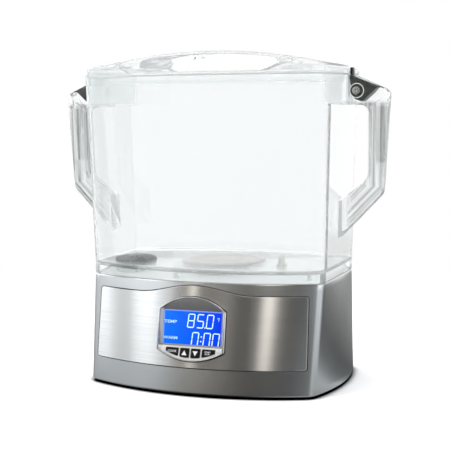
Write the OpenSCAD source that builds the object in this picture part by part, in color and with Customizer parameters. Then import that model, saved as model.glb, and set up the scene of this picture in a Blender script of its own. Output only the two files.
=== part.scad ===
// Sous vide circulator: a clear water tank with a latched lid, standing on a
// heated and pumped base with a tilted display. All sizes are in millimetres.
// X runs to the right, Y to the back and Z up; the origin is on the table,
// under the middle of the base.

/* [Base] */
// Width of the base at its corners, at the foot
base_w = 262; // [254:1:270]
// Width of the base at its top edge
base_top_w = 274.4; // [266:0.1:282]
// Depth of the base at its corners, at the foot
base_d = 162.4; // [152:0.1:168]
// Depth of the base at its corners, at the top edge
base_top_d = 120; // [114:0.1:126]
// How far front and back bow out past the corners
bulge = 29.9; // [25:0.1:34]
// How far the sides bow out past the corners, at the foot
side_bow = 14.7; // [8:0.1:17]
// Height of the base housing
base_h = 118.8; // [114:0.1:128]
// Height of the rubber feet under the housing
foot_h = 3; // [2:0.5:5]
// Radius of the base's vertical corners
base_r = 11.5; // [10:0.5:15]
// Wall of the base housing
base_wall = 3; // [2.5:0.1:3.6]
// Depth of the well that the tank stands in
well_depth = 3; // [2:0.5:5]
// Width of the rim round the well
well_rim = 2.6; // [2.2:0.1:4]

/* [Front panel] */
// Width of the steel panel at its lower edge
panel_w = 248; // [236:1:252]
// Height of the panel's lower edge above the table
panel_z0 = 30.4; // [26:0.1:33]
// Height of the panel's upper edge above the table, at its ends
panel_z1 = 108; // [102:0.1:110]
// Rise of the wave in the middle of the panel's upper edge
wave_h = 9.8; // [4:0.1:11]
// Width of the wave
wave_w = 137; // [110:1:170]
// How far the panel is let into the housing
panel_in = 0.8; // [0.6:0.1:1.2]
// How far the panel stands proud of the housing
panel_out = 0.4; // [0.2:0.1:0.6]

/* [Display] */
// Height of the display's centre above the table
display_z = 69.8; // [67:0.1:72]
// Width of the display surround
bezel_w = 77.6; // [76:0.2:84]
// Height of the surround's straight sides
bezel_side_h = 44; // [43:0.5:46]
// Rise of the surround's upper arc
bezel_rise = 14.9; // [12:0.1:16]
// Drop of the surround's lower arc
bezel_drop = 11.3; // [10:0.1:12]
// Width of the bright trim ring
trim_w = 1.6; // [1.2:0.1:2]
// Width of the display window
window_w = 67.8; // [66:0.1:68.4]
// Height of the display window
window_h = 37; // [35:0.1:38]
// Height of the key row
key_h = 9.6; // [8.5:0.1:10]
// Width of the two outer keys
key_wide = 14.3; // [13:0.1:14.6]
// Width of the two arrow keys
key_narrow = 10.2; // [9:0.1:10.5]
// Gap between neighbouring keys
key_gap = 2.6; // [2.2:0.1:3]
// Travel of a key
key_travel = 1.2; // [0.8:0.1:1.4]

/* [Tank] */
// Height of the tank's rim above the table
rim_z = 343.4; // [326:0.1:360]
// Width of the tank just above its foot
tank_w = 276; // [268:0.1:282]
// Depth of the tank at its corners, just above its foot
tank_d = 117.4; // [112:0.1:122]
// Width of the tank at its rim
rim_w = 292; // [284:1:300]
// Depth of the tank at its corners, at the rim
rim_d = 126.4; // [120:0.1:132]
// How far the tank's front and back bow out
tank_bulge = 29.5; // [24:0.1:34]
// Radius of the tank's vertical corners
tank_r = 13; // [11:0.5:18]
// Wall of the tank
tank_wall = 3.6; // [2.8:0.1:4.4]
// Height of the tank's foot, up to the inside floor
tank_foot_h = 14.8; // [14.5:0.1:18]
// Thickness of the tank's floor
floor_t = 3.5; // [3:0.1:4.5]
// Gap between the tank's foot and the well, all round
foot_clear = 0.5; // [0.4:0.1:0.8]
// Gap between resting faces of pieces that lift apart
seat_gap = 0.2; // [0.15:0.05:0.3]

/* [Handles and latches] */
// Reach of the handles from the middle of the tank
handle_reach = 193.4; // [188:0.1:200]
// Thickness of the handle bar, seen from the front
handle_bar = 20.8; // [19:0.1:24]
// Depth of a handle, front to back
handle_d = 23; // [22:0.5:28]
// Wall of the handle beside the latch
handle_wall = 2.7; // [2:0.1:3.4]
// Distance of the latch pivots from the middle of the tank
pivot_x = 159.5; // [158.5:0.1:161]
// Depth of the latch pivots under the rim
pivot_drop = 17.4; // [16.5:0.1:19]
// Radius of the latch pins
pin_r = 2.2; // [1.8:0.1:2.6]
// Running clearance of the latch on its pin
pin_clear = 0.06; // [0.04:0.01:0.1]
// Radius of the latch hub
hub_r = 8.2; // [7:0.1:9]
// Gap beside a latch, on each side
latch_clear = 0.4; // [0.3:0.1:0.6]

/* [Lid] */
// Thickness of the lid's plate
lid_t = 3; // [2.4:0.1:4]
// Height of the handle arch above the rim
arch_h = 28; // [24:0.1:32]
// Thickness of the handle arch
arch_t = 3.4; // [3:0.1:5]
// Depth of the handle arch, front to back
arch_d = 84; // [60:1:92]
// Width of the grip gap under the arch
grip_w = 166; // [140:1:172]
// Height of the raised shoulders above the lid's plate
shoulder_h = 9; // [5:0.1:11]
// Depth of the skirt that enters the tank
skirt_h = 10; // [6:0.5:16]
// Thickness of the lid's seal
seal_t = 1.4; // [1:0.1:2.4]

/* [Heater and pump] */
// Radius of the heater plate
heater_r = 46; // [38:0.5:48]
// Distance of the pump from the middle, to the left
pump_x = 98; // [92:0.5:99]
// Distance of the pump from the middle, to the front
pump_y = 28; // [18:0.5:30]
// Radius of the pump's impeller
impeller_r = 16.5; // [13:0.1:17]
// Number of impeller vanes
vane_n = 7; // [5:1:9]
// Number of slots in the pump cover
slot_n = 18; // [12:1:20]
// Radius of the motor shaft
shaft_r = 2; // [1.6:0.1:2.6]

/* [Hidden] */
$fn = 48;

eps = 0.01;
arc_n = 10;     // facets along half of a bowed face
side_n = 5;     // facets along half of a bowed side
corner_n = 5;   // facets round a corner
fit = 0.1;      // gap between pieces let into each other

base_z1 = foot_h + base_h;
deck_z = base_z1 - well_depth;
tank_z0 = deck_z + seat_gap;
floor_z = tank_z0 + tank_foot_h;
lean = atan((base_d - base_top_d) / 2 / base_h);    // of the front

clear_plastic = [0.86, 0.91, 0.93, 0.45];
silver = [0.62, 0.64, 0.66];
steel = [0.78, 0.78, 0.79];
black = [0.07, 0.07, 0.08];

// ---- outlines and lofts -------------------------------------------------

function lerp(a, b, t) = a + (b - a) * t;
function arc(c, r, a0, a1, n) =
    [for (i = [0:n]) c + r * [cos(lerp(a0, a1, i / n)), sin(lerp(a0, a1, i / n))]];

// The quarter of a bowed plan from the middle of its front to the middle of
// its right side. hw, hd: where the bowed front and side would meet; b, s: how
// far front and side bow out past that; r: corner radius; i: inset of it all.
function quarter(hw, hd, b, r, i, s) =
    let (front = (hw * hw + b * b) / (2 * b),
         side = (hd * hd + s * s) / (2 * s),
         cf = [0, front - hd - b],
         cs = [hw + s - side, 0],
         c = meet(cf, front - r, cs, side - r),
         phi = atan2(c.x, cf.y - c.y),
         psi = atan2(-c.y, c.x - cs.x))
    concat(
        arc(cf, front - i, 270, 270 + phi, arc_n),
        arc(c, r - i, 270 + phi, 360 - psi, corner_n),
        s > straight ? arc(cs, side - i, 360 - psi, 360, side_n) : []);
// Where two circles meet, on the left of the way from the first to the second.
function meet(c0, r0, c1, r1) =
    let (d = norm(c1 - c0), u = (c1 - c0) / d, t = (r0 * r0 - r1 * r1 + d * d) / (2 * d))
    c0 + t * u + sqrt(r0 * r0 - t * t) * [-u.y, u.x];
straight = 0.01;        // a side bow too small to see

function barrel(hw, hd, b, r, i = 0, s = straight) =
    let (q = quarter(hw, hd, b, r, i, s),
         front = concat([for (k = [len(q) - 1:-1:1]) [-q[k].x, q[k].y]], q))
    thin(concat(front, [for (p = front) -p]));
// Drops points that repeat their neighbour.
function thin(pts) =
    [for (i = [0:len(pts) - 1])
        if (norm(pts[i] - pts[(i + 1) % len(pts)]) > 0.001) pts[i]];

// A solid through convex sections, each [z, points], with as many points each.
module loft(sections) {
    n = len(sections[0][1]);
    m = len(sections);
    points = [for (s = sections) for (p = s[1]) [p.x, p.y, s[0]]];
    sides = [for (k = [0:m - 2]) for (i = [0:n - 1])
        let (a = k * n + i, b = k * n + (i + 1) % n)
        for (f = [[a, a + n, b + n], [a, b + n, b]]) f];
    bottom = [for (i = [0:n - 1]) i];
    top = [for (i = [0:n - 1]) m * n - 1 - i];
    polyhedron(points, concat([bottom], sides, [top]));
}

// A polygon whose corners [x, y, radius] are rounded by arcs.
function rounded(corners) =
    [for (i = [0:len(corners) - 1])
        let (n = len(corners),
             p = xy(corners[i]),
             u = unit(xy(corners[(i + n - 1) % n]) - p),
             v = unit(xy(corners[(i + 1) % n]) - p),
             r = corners[i][2],
             half = acos(u * v) / 2,
             c = p + unit(u + v) * r / sin(half),
             t0 = p + u * r / tan(half) - c,
             t1 = p + v * r / tan(half) - c,
             a0 = atan2(t0.y, t0.x),
             turn = wrap(atan2(t1.y, t1.x) - a0))
        for (q = r < 0.01 ? [p] : arc(c, r, a0, a0 + turn, 6)) q];
function xy(p) = [p[0], p[1]];
function unit(v) = v / norm(v);
function wrap(a) = a > 180 ? a - 360 : a < -180 ? a + 360 : a;

// A flat outline in X and Z, d deep in Y, centred on the middle plane.
module upright(d) {
    translate([0, d / 2, 0]) rotate([90, 0, 0]) linear_extrude(height = d) children();
}

module ring_of(n, r) {
    for (i = [0:n - 1]) rotate(360 * i / n) translate([r, 0, 0]) children();
}

module at_corners(x, y) {
    for (sx = [-1, 1], sy = [-1, 1]) translate([sx * x, sy * y, 0]) children();
}

// ---- base ---------------------------------------------------------------

function base_t(z) = (z - foot_h) / base_h;
function base_plan(z, inset) =
    barrel(lerp(base_w, base_top_w, base_t(z)) / 2, lerp(base_d, base_top_d, base_t(z)) / 2,
           bulge, base_r, inset, lerp(side_bow, top_side_bow, base_t(z)));
function face_y(z) = -lerp(base_d, base_top_d, base_t(z)) / 2 - bulge;
function base_section(z, inset) = [z, base_plan(z, inset)];

top_side_bow = 0.5;
edge_r = 1.6;           // rounding of the housing's top edge
foot_chamfer = 1.6;     // chamfer at the housing's foot
boss_r = 4.2;
boss_x = base_w / 2 - 11;
boss_y = base_top_d / 2 - 13;
screw_r = 1.6;
floor_plate_t = 3;
deck_t = base_wall;
deck_under = deck_z - deck_t;
floor_top = foot_h + floor_plate_t;

dock_r = 15;            // radius of the tank's plug
dock_clear = 0.6;
dock_wall = 3;
dock_depth = 9;

gland_x = 66;
gland_z = 24;
gland_r = 7;
gland_flange = 9.5;
gland_pad = 5.2;        // how far the gland's pad stands out of the back
gland_out = -face_y(gland_z) - bulge * pow(2 * gland_x / base_w, 2) + gland_pad;
cord_r = 3.75;

vent_n = 11;
vent_w = 2.4;
vent_h = 24;
vent_pitch = 6;
vent_x = -40;           // middle of the back's vents
vent_z = base_h / 2;
floor_vent_x = 50;      // middle of the vents in the floor

// Moves its children onto the leaning front: local Y climbs the face and
// local Z points straight out of it.
module on_front() {
    translate([0, face_y(display_z), display_z]) rotate([90 - lean, 0, 0]) children();
}

module base_housing() {
    color(silver) difference() {
        union() {
            difference() {
                loft([base_section(foot_h, foot_chamfer),
                      base_section(foot_h + foot_chamfer, 0),
                      base_section(base_z1 - edge_r, 0),
                      base_section(base_z1 - 0.3 * edge_r, 0.3 * edge_r),
                      base_section(base_z1, edge_r)]);
                loft([base_section(foot_h - eps, base_wall),
                      base_section(deck_under, base_wall)]);
                loft([base_section(deck_z, well_rim), base_section(base_z1 + eps, well_rim)]);
            }
            at_corners(boss_x, boss_y) translate([0, 0, floor_top])
                cylinder(r = boss_r, h = deck_under - floor_top + 1);
            translate([gland_x, gland_out, gland_z]) rotate([90, 0, 0])
                cylinder(r = gland_flange + 1.5, h = 12);
            motor_posts();
        }
        panel_skin(panel_gap, 2);
        on_front() translate([0, 0, -15]) linear_extrude(height = 20) bezel_shape(-fit);
        translate([0, 0, deck_under - 1]) cylinder(r = dock_r + dock_clear + dock_wall + fit, h = 10);
        translate([gland_x, gland_out + 1, gland_z]) rotate([90, 0, 0])
            cylinder(r = gland_r + fit, h = 30);
        at_corners(boss_x, boss_y) translate([0, 0, floor_top - 1])
            cylinder(r = screw_r, h = screw_len);
        for (i = [0:vent_n - 1])
            translate([vent_x + (i - (vent_n - 1) / 2) * vent_pitch - vent_w / 2, base_top_d / 2, vent_z])
                cube([vent_w, base_d / 2, vent_h]);
    }
}

module base_floor() {
    color([0.2, 0.2, 0.21]) difference() {
        loft([base_section(foot_h, base_wall + fit + 0.2),
              base_section(floor_top, base_wall + fit + 0.2)]);
        at_corners(boss_x, boss_y) {
            translate([0, 0, foot_h - 1]) cylinder(r = screw_r + 0.2, h = 6);
            translate([0, 0, foot_h - eps]) cylinder(r = screw_head_r + 0.2, h = screw_head_t);
        }
        at_corners(foot_x, foot_y) translate([0, 0, foot_h - eps])
            cylinder(r = foot_r + fit, h = foot_sunk);
        for (i = [0:vent_n - 1])
            translate([floor_vent_x + (i - (vent_n - 1) / 2) * vent_pitch - vent_w / 2, -vent_h / 2, foot_h - 1])
                cube([vent_w, vent_h, 6]);
    }
}

screw_len = 16;
screw_head_r = 3;
screw_head_t = 1.6;
module screw(len, head_r) {
    cylinder(r = head_r, h = screw_head_t - eps);
    cylinder(r = screw_r, h = len);
}
module base_screws() {
    color(steel) at_corners(boss_x, boss_y) translate([0, 0, foot_h])
        screw(screw_len - 1, screw_head_r);
}

foot_r = 9;
foot_x = base_w / 2 - 31;
foot_y = base_d / 2 - 11;
foot_sunk = 1;
module rubber_feet() {
    color(black) at_corners(foot_x, foot_y) rotate_extrude()
        polygon([[0, 0], [foot_r - 2, 0], [foot_r - 1, foot_h * 0.4], [foot_r - 0.5, foot_h],
                 [foot_r - 0.5, foot_h + foot_sunk - eps], [0, foot_h + foot_sunk - eps]]);
}

// ---- steel panel --------------------------------------------------------

panel_gap = 0.5;
panel_r = 5;
panel_taper = 1.1;      // how much narrower each side of the panel is at the top
wave_steps = 24;
function wave(x) = abs(x) < wave_w / 2 ? wave_h * (1 + cos(360 * x / wave_w)) / 2 : 0;

// The panel's outline in X and Z, grown all round.
module panel_outline(grow) {
    hw = panel_w / 2 + grow;
    top_hw = hw - panel_taper;
    z0 = panel_z0 - grow;
    z1 = panel_z1 + grow;
    r = panel_r + grow;
    polygon(concat(
        arc([-hw + r, z0 + r], r, 180, 270, corner_n),
        arc([hw - r, z0 + r], r, 270, 360, corner_n),
        arc([top_hw - r, z1 - r], r, 0, 90, corner_n),
        [for (i = [0:wave_steps]) let (x = wave_w * (0.5 - i / wave_steps)) [x, z1 + wave(x)]],
        arc([-top_hw + r, z1 - r], r, 90, 180, corner_n)));
}

// The layer of the front between the panel's bed and a height above the housing.
module panel_skin(grow, proud) {
    z0 = panel_z0 - 3;
    z1 = panel_z1 + wave_h + 3;
    intersection() {
        difference() {
            loft([base_section(z0, -proud), base_section(z1, -proud)]);
            loft([base_section(z0 - 1, panel_in), base_section(z1 + 1, panel_in)]);
        }
        translate([0, -base_top_d / 2, 0]) rotate([90, 0, 0])
            linear_extrude(height = base_d) panel_outline(grow);
    }
}

module front_panel() {
    color(steel) difference() {
        panel_skin(0, panel_out);
        on_front() translate([0, 0, -15]) linear_extrude(height = 20) bezel_shape(-fit);
    }
}

// ---- display ------------------------------------------------------------

trim_proud = 2.6;       // how far each layer stands out of the front
bezel_proud = 1.8;
dish_z = -1;            // where the dished surround meets the window
window_front = dish_z - 0.2;
bezel_back = -2.6;
trim_back = -6.5;
window_y = 3.4;         // centre of the window above the display's centre
window_top = window_y + window_h / 2;
window_bottom = window_y - window_h / 2;
split_y = window_bottom - 1.9;  // between the bezel and the key plate

// The surround: straight sides between an upper and a lower arc, inset by i.
module bezel_shape(i) {
    hw = bezel_w / 2;
    hs = bezel_side_h / 2;
    r1 = (hw * hw + bezel_rise * bezel_rise) / (2 * bezel_rise);
    r2 = (hw * hw + bezel_drop * bezel_drop) / (2 * bezel_drop);
    intersection() {
        square([2 * (hw - i), 4 * hw], center = true);
        translate([0, hs + bezel_rise - r1]) circle(r = r1 - i);
        translate([0, r2 - hs - bezel_drop]) circle(r = r2 - i);
    }
}

module window_shape(grow) {
    w = window_w / 2 + grow;
    h = window_h / 2 + grow;
    r = 1.5 + grow;
    translate([0, window_y]) polygon(rounded([[-w, -h, r], [w, -h, r], [w, h, r], [-w, h, r]]));
}

// The hollow of the dished surround: four faces that fall from the trim ring
// to the window.
module dish() {
    rise = bezel_proud - dish_z;
    grow = 2;           // the hollow is carried on past the trim's level
    side = (bezel_w / 2 - trim_w - window_w / 2) * grow;
    up = (bezel_side_h / 2 + bezel_rise - trim_w - window_top) * grow;
    down = (bezel_side_h / 2 + bezel_drop - trim_w + window_bottom) * grow;
    loft([
        [dish_z, frame_plan(window_w / 2, window_bottom, window_top)],
        [dish_z + rise * grow, frame_plan(window_w / 2 + side, window_bottom - down, window_top + up)]]);
}
function frame_plan(x, y0, y1) = [[-x, y0], [x, y0], [x, y1], [-x, y1]];

// The room inside the trim ring, between two heights.
module inside_trim(y0, y1) {
    intersection() {
        bezel_shape(trim_w + 0.4);
        translate([-bezel_w / 2, y0]) square([bezel_w, y1 - y0]);
    }
}

module bezel_trim() {
    color(steel) on_front() difference() {
        translate([0, 0, trim_back]) linear_extrude(height = trim_proud - trim_back) bezel_shape(0);
        translate([0, 0, trim_back - 1]) linear_extrude(height = 20) bezel_shape(trim_w);
    }
}

module display_bezel() {
    color([0.36, 0.37, 0.38]) on_front() difference() {
        translate([0, 0, bezel_back]) linear_extrude(height = bezel_proud - bezel_back) intersection() {
            bezel_shape(trim_w + fit / 2);
            translate([0, split_y + 100]) square(200, center = true);
        }
        translate([0, 0, bezel_back - 1]) linear_extrude(height = 10) window_shape(0);
        dish();
    }
}

key_top = split_y - 2.3;
key_bottom = key_top - key_h;
key_y = (key_top + key_bottom) / 2 + 1;     // where the key's stem stands
key_lift = 1.3;         // how far the keys stand out of the dish
key_clear = 0.35;
key_x0 = key_gap / 2 + key_narrow / 2;
key_x1 = key_gap * 1.5 + key_narrow + key_wide / 2;
stem_r = 1.7;
key_back = bezel_back + 0.1;
stem_back = key_back - 4.1;
frame_front = key_back - key_travel - 0.3;
frame_back = frame_front - 1.4;
board_front = frame_back - 5.8;
board_back = board_front - 1.6;

// One key's outline, which follows the surround's lower arc.
module key_shape(x, w, grow) {
    intersection() {
        translate([x - w / 2 - grow, key_bottom - grow]) square([w + 2 * grow, key_h + 2 * grow]);
        bezel_shape(trim_w + 2.6 - grow);
    }
}

module key_plate() {
    color([0.8, 0.81, 0.82]) on_front() difference() {
        translate([0, 0, bezel_back]) linear_extrude(height = bezel_proud - bezel_back)
            intersection() {
                bezel_shape(trim_w + fit / 2);
                translate([0, split_y - fit - 100]) square(200, center = true);
            }
        translate([0, 0, bezel_back - 1]) linear_extrude(height = 10) {
            for (s = [-1, 1]) key_shape(s * key_x0, key_narrow, key_clear);
            for (s = [-1, 1]) key_shape(s * key_x1, key_wide, key_clear);
        }
        dish();
    }
}

module key(x, w) {
    color(black) on_front() difference() {
        union() {
            translate([0, 0, key_back])
                linear_extrude(height = bezel_proud + key_lift - key_back) key_shape(x, w, 0);
            translate([x, key_y, stem_back]) cylinder(r = stem_r, h = key_back - stem_back + 0.5);
        }
        translate([0, 0, key_lift]) dish();
    }
}
module key_cook() { key(-key_x1, key_wide); }
module key_up() { key(-key_x0, key_narrow); }
module key_down() { key(key_x0, key_narrow); }
module key_start() { key(key_x1, key_wide); }

module each_key() {
    for (x = [-key_x1, -key_x0, key_x0, key_x1])
        translate([x, key_y, 0]) children();
}

module lcd_window() {
    color([0.1, 0.3, 1]) on_front() translate([0, 0, bezel_back])
        linear_extrude(height = window_front - bezel_back) window_shape(-fit);
}

lcd_back = bezel_back - 5;
post_x = window_w / 2 - 2.9;
module lcd_module() {
    color([0.3, 0.32, 0.34]) on_front() {
        translate([0, 0, lcd_back]) linear_extrude(height = bezel_back - lcd_back)
            inside_trim(split_y + 0.4, window_top + 2.5);
        for (sx = [-1, 1], y = [window_bottom + 2.5, window_top - 2.5])
            translate([sx * post_x, y, board_front]) cylinder(r = 2, h = lcd_back - board_front + 0.5);
    }
}

module keypad_frame() {
    color(black) on_front() difference() {
        union() {
            translate([0, 0, frame_back]) linear_extrude(height = frame_front - frame_back)
                inside_trim(key_bottom - 2, split_y - 1);
            for (s = [-1, 1]) translate([s * post_x, key_top - 3, board_front])
                cylinder(r = 1.8, h = frame_front - board_front);
        }
        translate([0, 0, frame_back - 1]) each_key() cylinder(r = stem_r + 0.35, h = 4);
    }
}

board_w = bezel_w - 5.6;
chip_w = 14;            // the pieces on the back of the board
chip_h = 2;
plug_w = 18;
plug_h = 6.5;
can_h = 8;
module control_board() {
    color([0.05, 0.35, 0.16]) on_front() {
        translate([-board_w / 2, key_bottom - 1.1, board_back])
            cube([board_w, window_top + 3.2 - key_bottom, board_front - board_back]);
        translate([-10, 2, board_back - chip_h]) cube([chip_w, chip_w, chip_h + 0.5]);
        translate([12, -6, board_back - plug_h]) cube([plug_w, plug_h, plug_h + 0.5]);
        for (x = [-28, -20]) translate([x, 14, board_back - can_h]) cylinder(r = 3, h = can_h + 0.5);
    }
}

switch_h = 2.7;
module tact_switches() {
    color([0.75, 0.75, 0.72]) on_front() each_key() {
        translate([-3, -3, board_front]) cube([6, 6, switch_h]);
        translate([0, 0, board_front + switch_h - 0.5])
            cylinder(r = 1.6, h = stem_back - key_travel - fit - board_front - switch_h + 0.5);
    }
}

// ---- dock, motor and power ----------------------------------------------

dock_z0 = deck_under - dock_depth;
contact_r = 1.5;
contact_ring = 8;
module dock_socket() {
    color(black) {
        rotate_extrude() polygon([[0, dock_z0 - dock_wall], [dock_r + dock_clear + dock_wall, dock_z0 - dock_wall],
            [dock_r + dock_clear + dock_wall, deck_under], [dock_r + dock_clear + dock_wall, deck_z - 0.5],
            [dock_r + dock_clear, deck_z - 0.5], [dock_r + dock_clear, dock_z0], [0, dock_z0]]);
        difference() {
            translate([0, 0, deck_under - 2.4]) cylinder(r = dock_r + dock_clear + dock_wall + 4, h = 2.4);
            translate([0, 0, deck_under - 4]) cylinder(r = dock_r + dock_clear + dock_wall - 1, h = 6);
        }
        ring_of(3, contact_ring) translate([0, 0, dock_z0 - 1]) cylinder(r = contact_r, h = 7);
    }
}

magnet_t = 6;
magnet_r = 19;
magnet_z0 = deck_under - 1 - magnet_t;
motor_r = 18;
motor_h = 36;
motor_z1 = magnet_z0 - 7;
bracket_t = 2;
motor_post_x = 25;

module at_pump() {
    translate([-pump_x, -pump_y, 0]) children();
}

module motor_posts() {
    at_pump() for (a = [20, 140, 260]) rotate(a) translate([motor_post_x, 0, motor_z1])
        cylinder(r = 3, h = deck_under - motor_z1 + 1);
}

module motor_bracket() {
    color(steel) at_pump() difference() {
        union() {
            translate([0, 0, motor_z1 - bracket_t]) cylinder(r = motor_r + 1, h = bracket_t);
            for (a = [20, 140, 260]) rotate(a) translate([motor_post_x, 0, motor_z1 - bracket_t])
                cylinder(r = 3.4, h = bracket_t);
            for (a = [20, 140, 260]) rotate(a)
                translate([motor_r - 2, -3.4, motor_z1 - bracket_t]) cube([motor_post_x - motor_r + 2, 6.8, bracket_t]);
        }
        translate([0, 0, motor_z1 - bracket_t - 1]) cylinder(r = 5 + fit, h = bracket_t + 2);
    }
}

module drive_motor() {
    color([0.45, 0.46, 0.48]) at_pump() difference() {
        union() {
            translate([0, 0, motor_z1 - bracket_t - motor_h]) cylinder(r = motor_r, h = motor_h);
            translate([0, 0, motor_z1 - bracket_t - 1]) cylinder(r = 5, h = bracket_t + 1.5);
            for (s = [-1, 1]) translate([s * 8 - 1.5, -0.4, motor_z1 - bracket_t - motor_h - 6])
                cube([3, 0.8, 7]);
        }
        translate([0, 0, motor_z1 - 30]) cylinder(r = shaft_r + 0.05, h = 40);
    }
}

module motor_shaft() {
    color(steel) at_pump() translate([0, 0, motor_z1 - 29])
        cylinder(r = shaft_r, h = magnet_z0 + magnet_t - 1.5 - motor_z1 + 29);
}

module drive_magnet() {
    color([0.25, 0.25, 0.27]) at_pump() difference() {
        union() {
            translate([0, 0, magnet_z0]) cylinder(r = magnet_r - 3, h = 2.5);
            translate([0, 0, magnet_z0 - 4]) cylinder(r = 5, h = 5);
            ring_of(6, magnet_r - 5) translate([0, 0, magnet_z0 + 2]) cylinder(r = 4.6, h = magnet_t - 2);
        }
        translate([0, 0, magnet_z0 - 5]) cylinder(r = shaft_r, h = magnet_t + 3.5);
    }
}

board_z = floor_top + 7;
pcb_x = base_w * 0.2;   // middle of the power board
pcb_w = base_w * 0.31;
pcb_d = base_top_d * 0.54;
transformer = [30, 26, 24];
relay = [20, 16, 16];
terminals = [18, 12, 13];
module power_board() {
    color([0.1, 0.3, 0.14]) translate([pcb_x, 0, 0]) {
        translate([-pcb_w / 2, -pcb_d / 2, board_z]) cube([pcb_w, pcb_d, 1.6]);
        at_corners(pcb_w / 2 - 6, pcb_d / 2 - 6) translate([0, 0, floor_top])
            cylinder(r = 3, h = board_z - floor_top + 0.5);
        translate([8 - pcb_w / 2, 8 - pcb_d / 2, board_z + 1]) cube(transformer);
        translate([4, 8 - pcb_d / 2, board_z + 1]) cube(relay);
        for (x = [6, 22]) translate([x, pcb_d / 2 - 20, board_z + 1]) cylinder(r = 6.5, h = 26);
        translate([12 - pcb_w / 2, pcb_d / 2 - 20, board_z + 1]) cube(terminals);
    }
}

module cord_gland() {
    color(black) translate([gland_x, gland_out, gland_z]) rotate([-90, 0, 0]) difference() {
        union() {
            cylinder(r = gland_flange, h = 2.4);
            translate([0, 0, -13]) cylinder(r = gland_r, h = 14);
        }
        translate([0, 0, -14]) cylinder(r = cord_r, h = 20);
    }
}

// ---- tank ---------------------------------------------------------------

foot_in = well_rim + foot_clear;    // how far the foot stands inside the base's top edge
foot_hw = base_top_w / 2 - foot_in;
foot_hd = base_top_d / 2 - foot_in;
collar_z = base_z1 + seat_gap;      // above it the foot is flush with the base
step_z = floor_z - 0.6;             // where the wall starts
rim_h = 7;
rim_bead = 1.6;

function tank_t(z) = (z - step_z) / (rim_z - step_z);
function tank_plan(z, inset) =
    barrel(lerp(tank_w / 2, rim_w / 2 - rim_bead, tank_t(z)),
           lerp(tank_d / 2, rim_d / 2 - rim_bead, tank_t(z)), tank_bulge, tank_r, inset);
function tank_section(z, inset) = [z, tank_plan(z, inset)];
function foot_section(z, inset) =
    [z, barrel(base_top_w / 2, base_top_d / 2, bulge, base_r, foot_in + inset)];

module tank_outside() {
    loft([foot_section(tank_z0, 0), foot_section(collar_z + 2, 0)]);
    loft([foot_section(collar_z, -foot_in),
          foot_section(step_z - 1, -foot_in),
          tank_section(step_z + 1, 0),
          tank_section(rim_z - rim_h - rim_bead, 0),
          tank_section(rim_z - rim_h, -rim_bead),
          tank_section(rim_z, -rim_bead)]);
}

cup_r = 23;
cup_wall = 2.4;
cup_z0 = tank_z0 + 2.4;
probe_x = 78;
probe_y = 24;
probe_r = 3.5;
heater_hole = heater_r - 2;

module tank() {
    color(clear_plastic) difference() {
        union() {
            difference() {
                tank_outside();
                loft([tank_section(floor_z, tank_wall), tank_section(rim_z + eps, tank_wall)]);
                loft([foot_section(tank_z0 - eps, tank_wall),
                      foot_section(floor_z - floor_t, tank_wall)]);
            }
            at_pump() translate([0, 0, cup_z0]) cylinder(r = cup_r, h = floor_z - cup_z0 - 1);
            for (p = cover_bosses) translate([p.x, p.y, cover_z1])
                cylinder(r = 3.6, h = floor_z - 1 - cover_z1);
        }
        at_pump() translate([0, 0, cup_z0 + cup_wall]) cylinder(r = cup_r - cup_wall, h = 40);
        at_pump() translate([0, 0, cup_z0 + 0.8]) cylinder(r = pin_small, h = 5);
        translate([0, 0, floor_z - 10]) cylinder(r = heater_hole, h = 20);
        translate([probe_x, -probe_y, floor_z - 10]) cylinder(r = probe_r, h = 20);
        for (p = cover_bosses) translate([p.x, p.y, cover_z1 - 1])
            cylinder(r = screw_r, h = 7);
    }
}

pin_small = 1.5;
module impeller_pin() {
    color(steel) at_pump() translate([0, 0, cup_z0 + 0.8])
        cylinder(r = pin_small, h = cover_top - 2.6 - cup_z0 - 0.8);
}

gasket_t = 1;
plate_flange = 4;
module heater_gasket() {
    color([0.75, 0.3, 0.2]) rotate_extrude() polygon([
        [heater_hole - 1.4, floor_z - floor_t], [heater_hole, floor_z - floor_t],
        [heater_hole, floor_z], [heater_hole + plate_flange, floor_z],
        [heater_hole + plate_flange, floor_z + gasket_t], [heater_hole - 1.4, floor_z + gasket_t]]);
}

plate_z0 = floor_z - floor_t - 1.6;
module heater_plate() {
    color(steel) rotate_extrude() polygon([
        [0, plate_z0], [heater_hole - 1.5, plate_z0], [heater_hole - 1.5, floor_z + gasket_t + 0.05],
        [heater_hole + plate_flange, floor_z + gasket_t + 0.05],
        [heater_hole + plate_flange - 0.6, floor_z + gasket_t + 1.3],
        [heater_hole - 4, floor_z + gasket_t + 1.6], [heater_hole - 6, floor_z + 0.9],
        [heater_hole * 0.5, floor_z + 0.9], [heater_hole * 0.45, floor_z + 1.9], [0, floor_z + 1.9]]);
}

element_r = 2.7;
element_ring = 29;
module heating_element() {
    color([0.35, 0.33, 0.3]) translate([0, 0, plate_z0 - element_r]) {
        rotate([0, 0, 20]) rotate_extrude(angle = 320) translate([element_ring, 0]) circle(r = element_r);
        for (a = [24, 336]) rotate(a) translate([element_ring, 0, 0]) rotate([0, -90, 0])
            cylinder(r = 1.4, h = element_ring - dock_r - 0.8);
    }
}

module temperature_probe() {
    color(steel) translate([probe_x, -probe_y, 0]) {
        translate([0, 0, floor_z - floor_t - 3]) cylinder(r = probe_r - 0.02, h = floor_t + 11);
        translate([0, 0, floor_z + 8]) sphere(r = probe_r - 0.02);
        translate([0, 0, floor_z]) cylinder(r = probe_r + 2.2, h = 1.6);
        translate([0, 0, floor_z - floor_t - 2]) cylinder(r = probe_r + 2, h = 2);
    }
}

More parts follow.
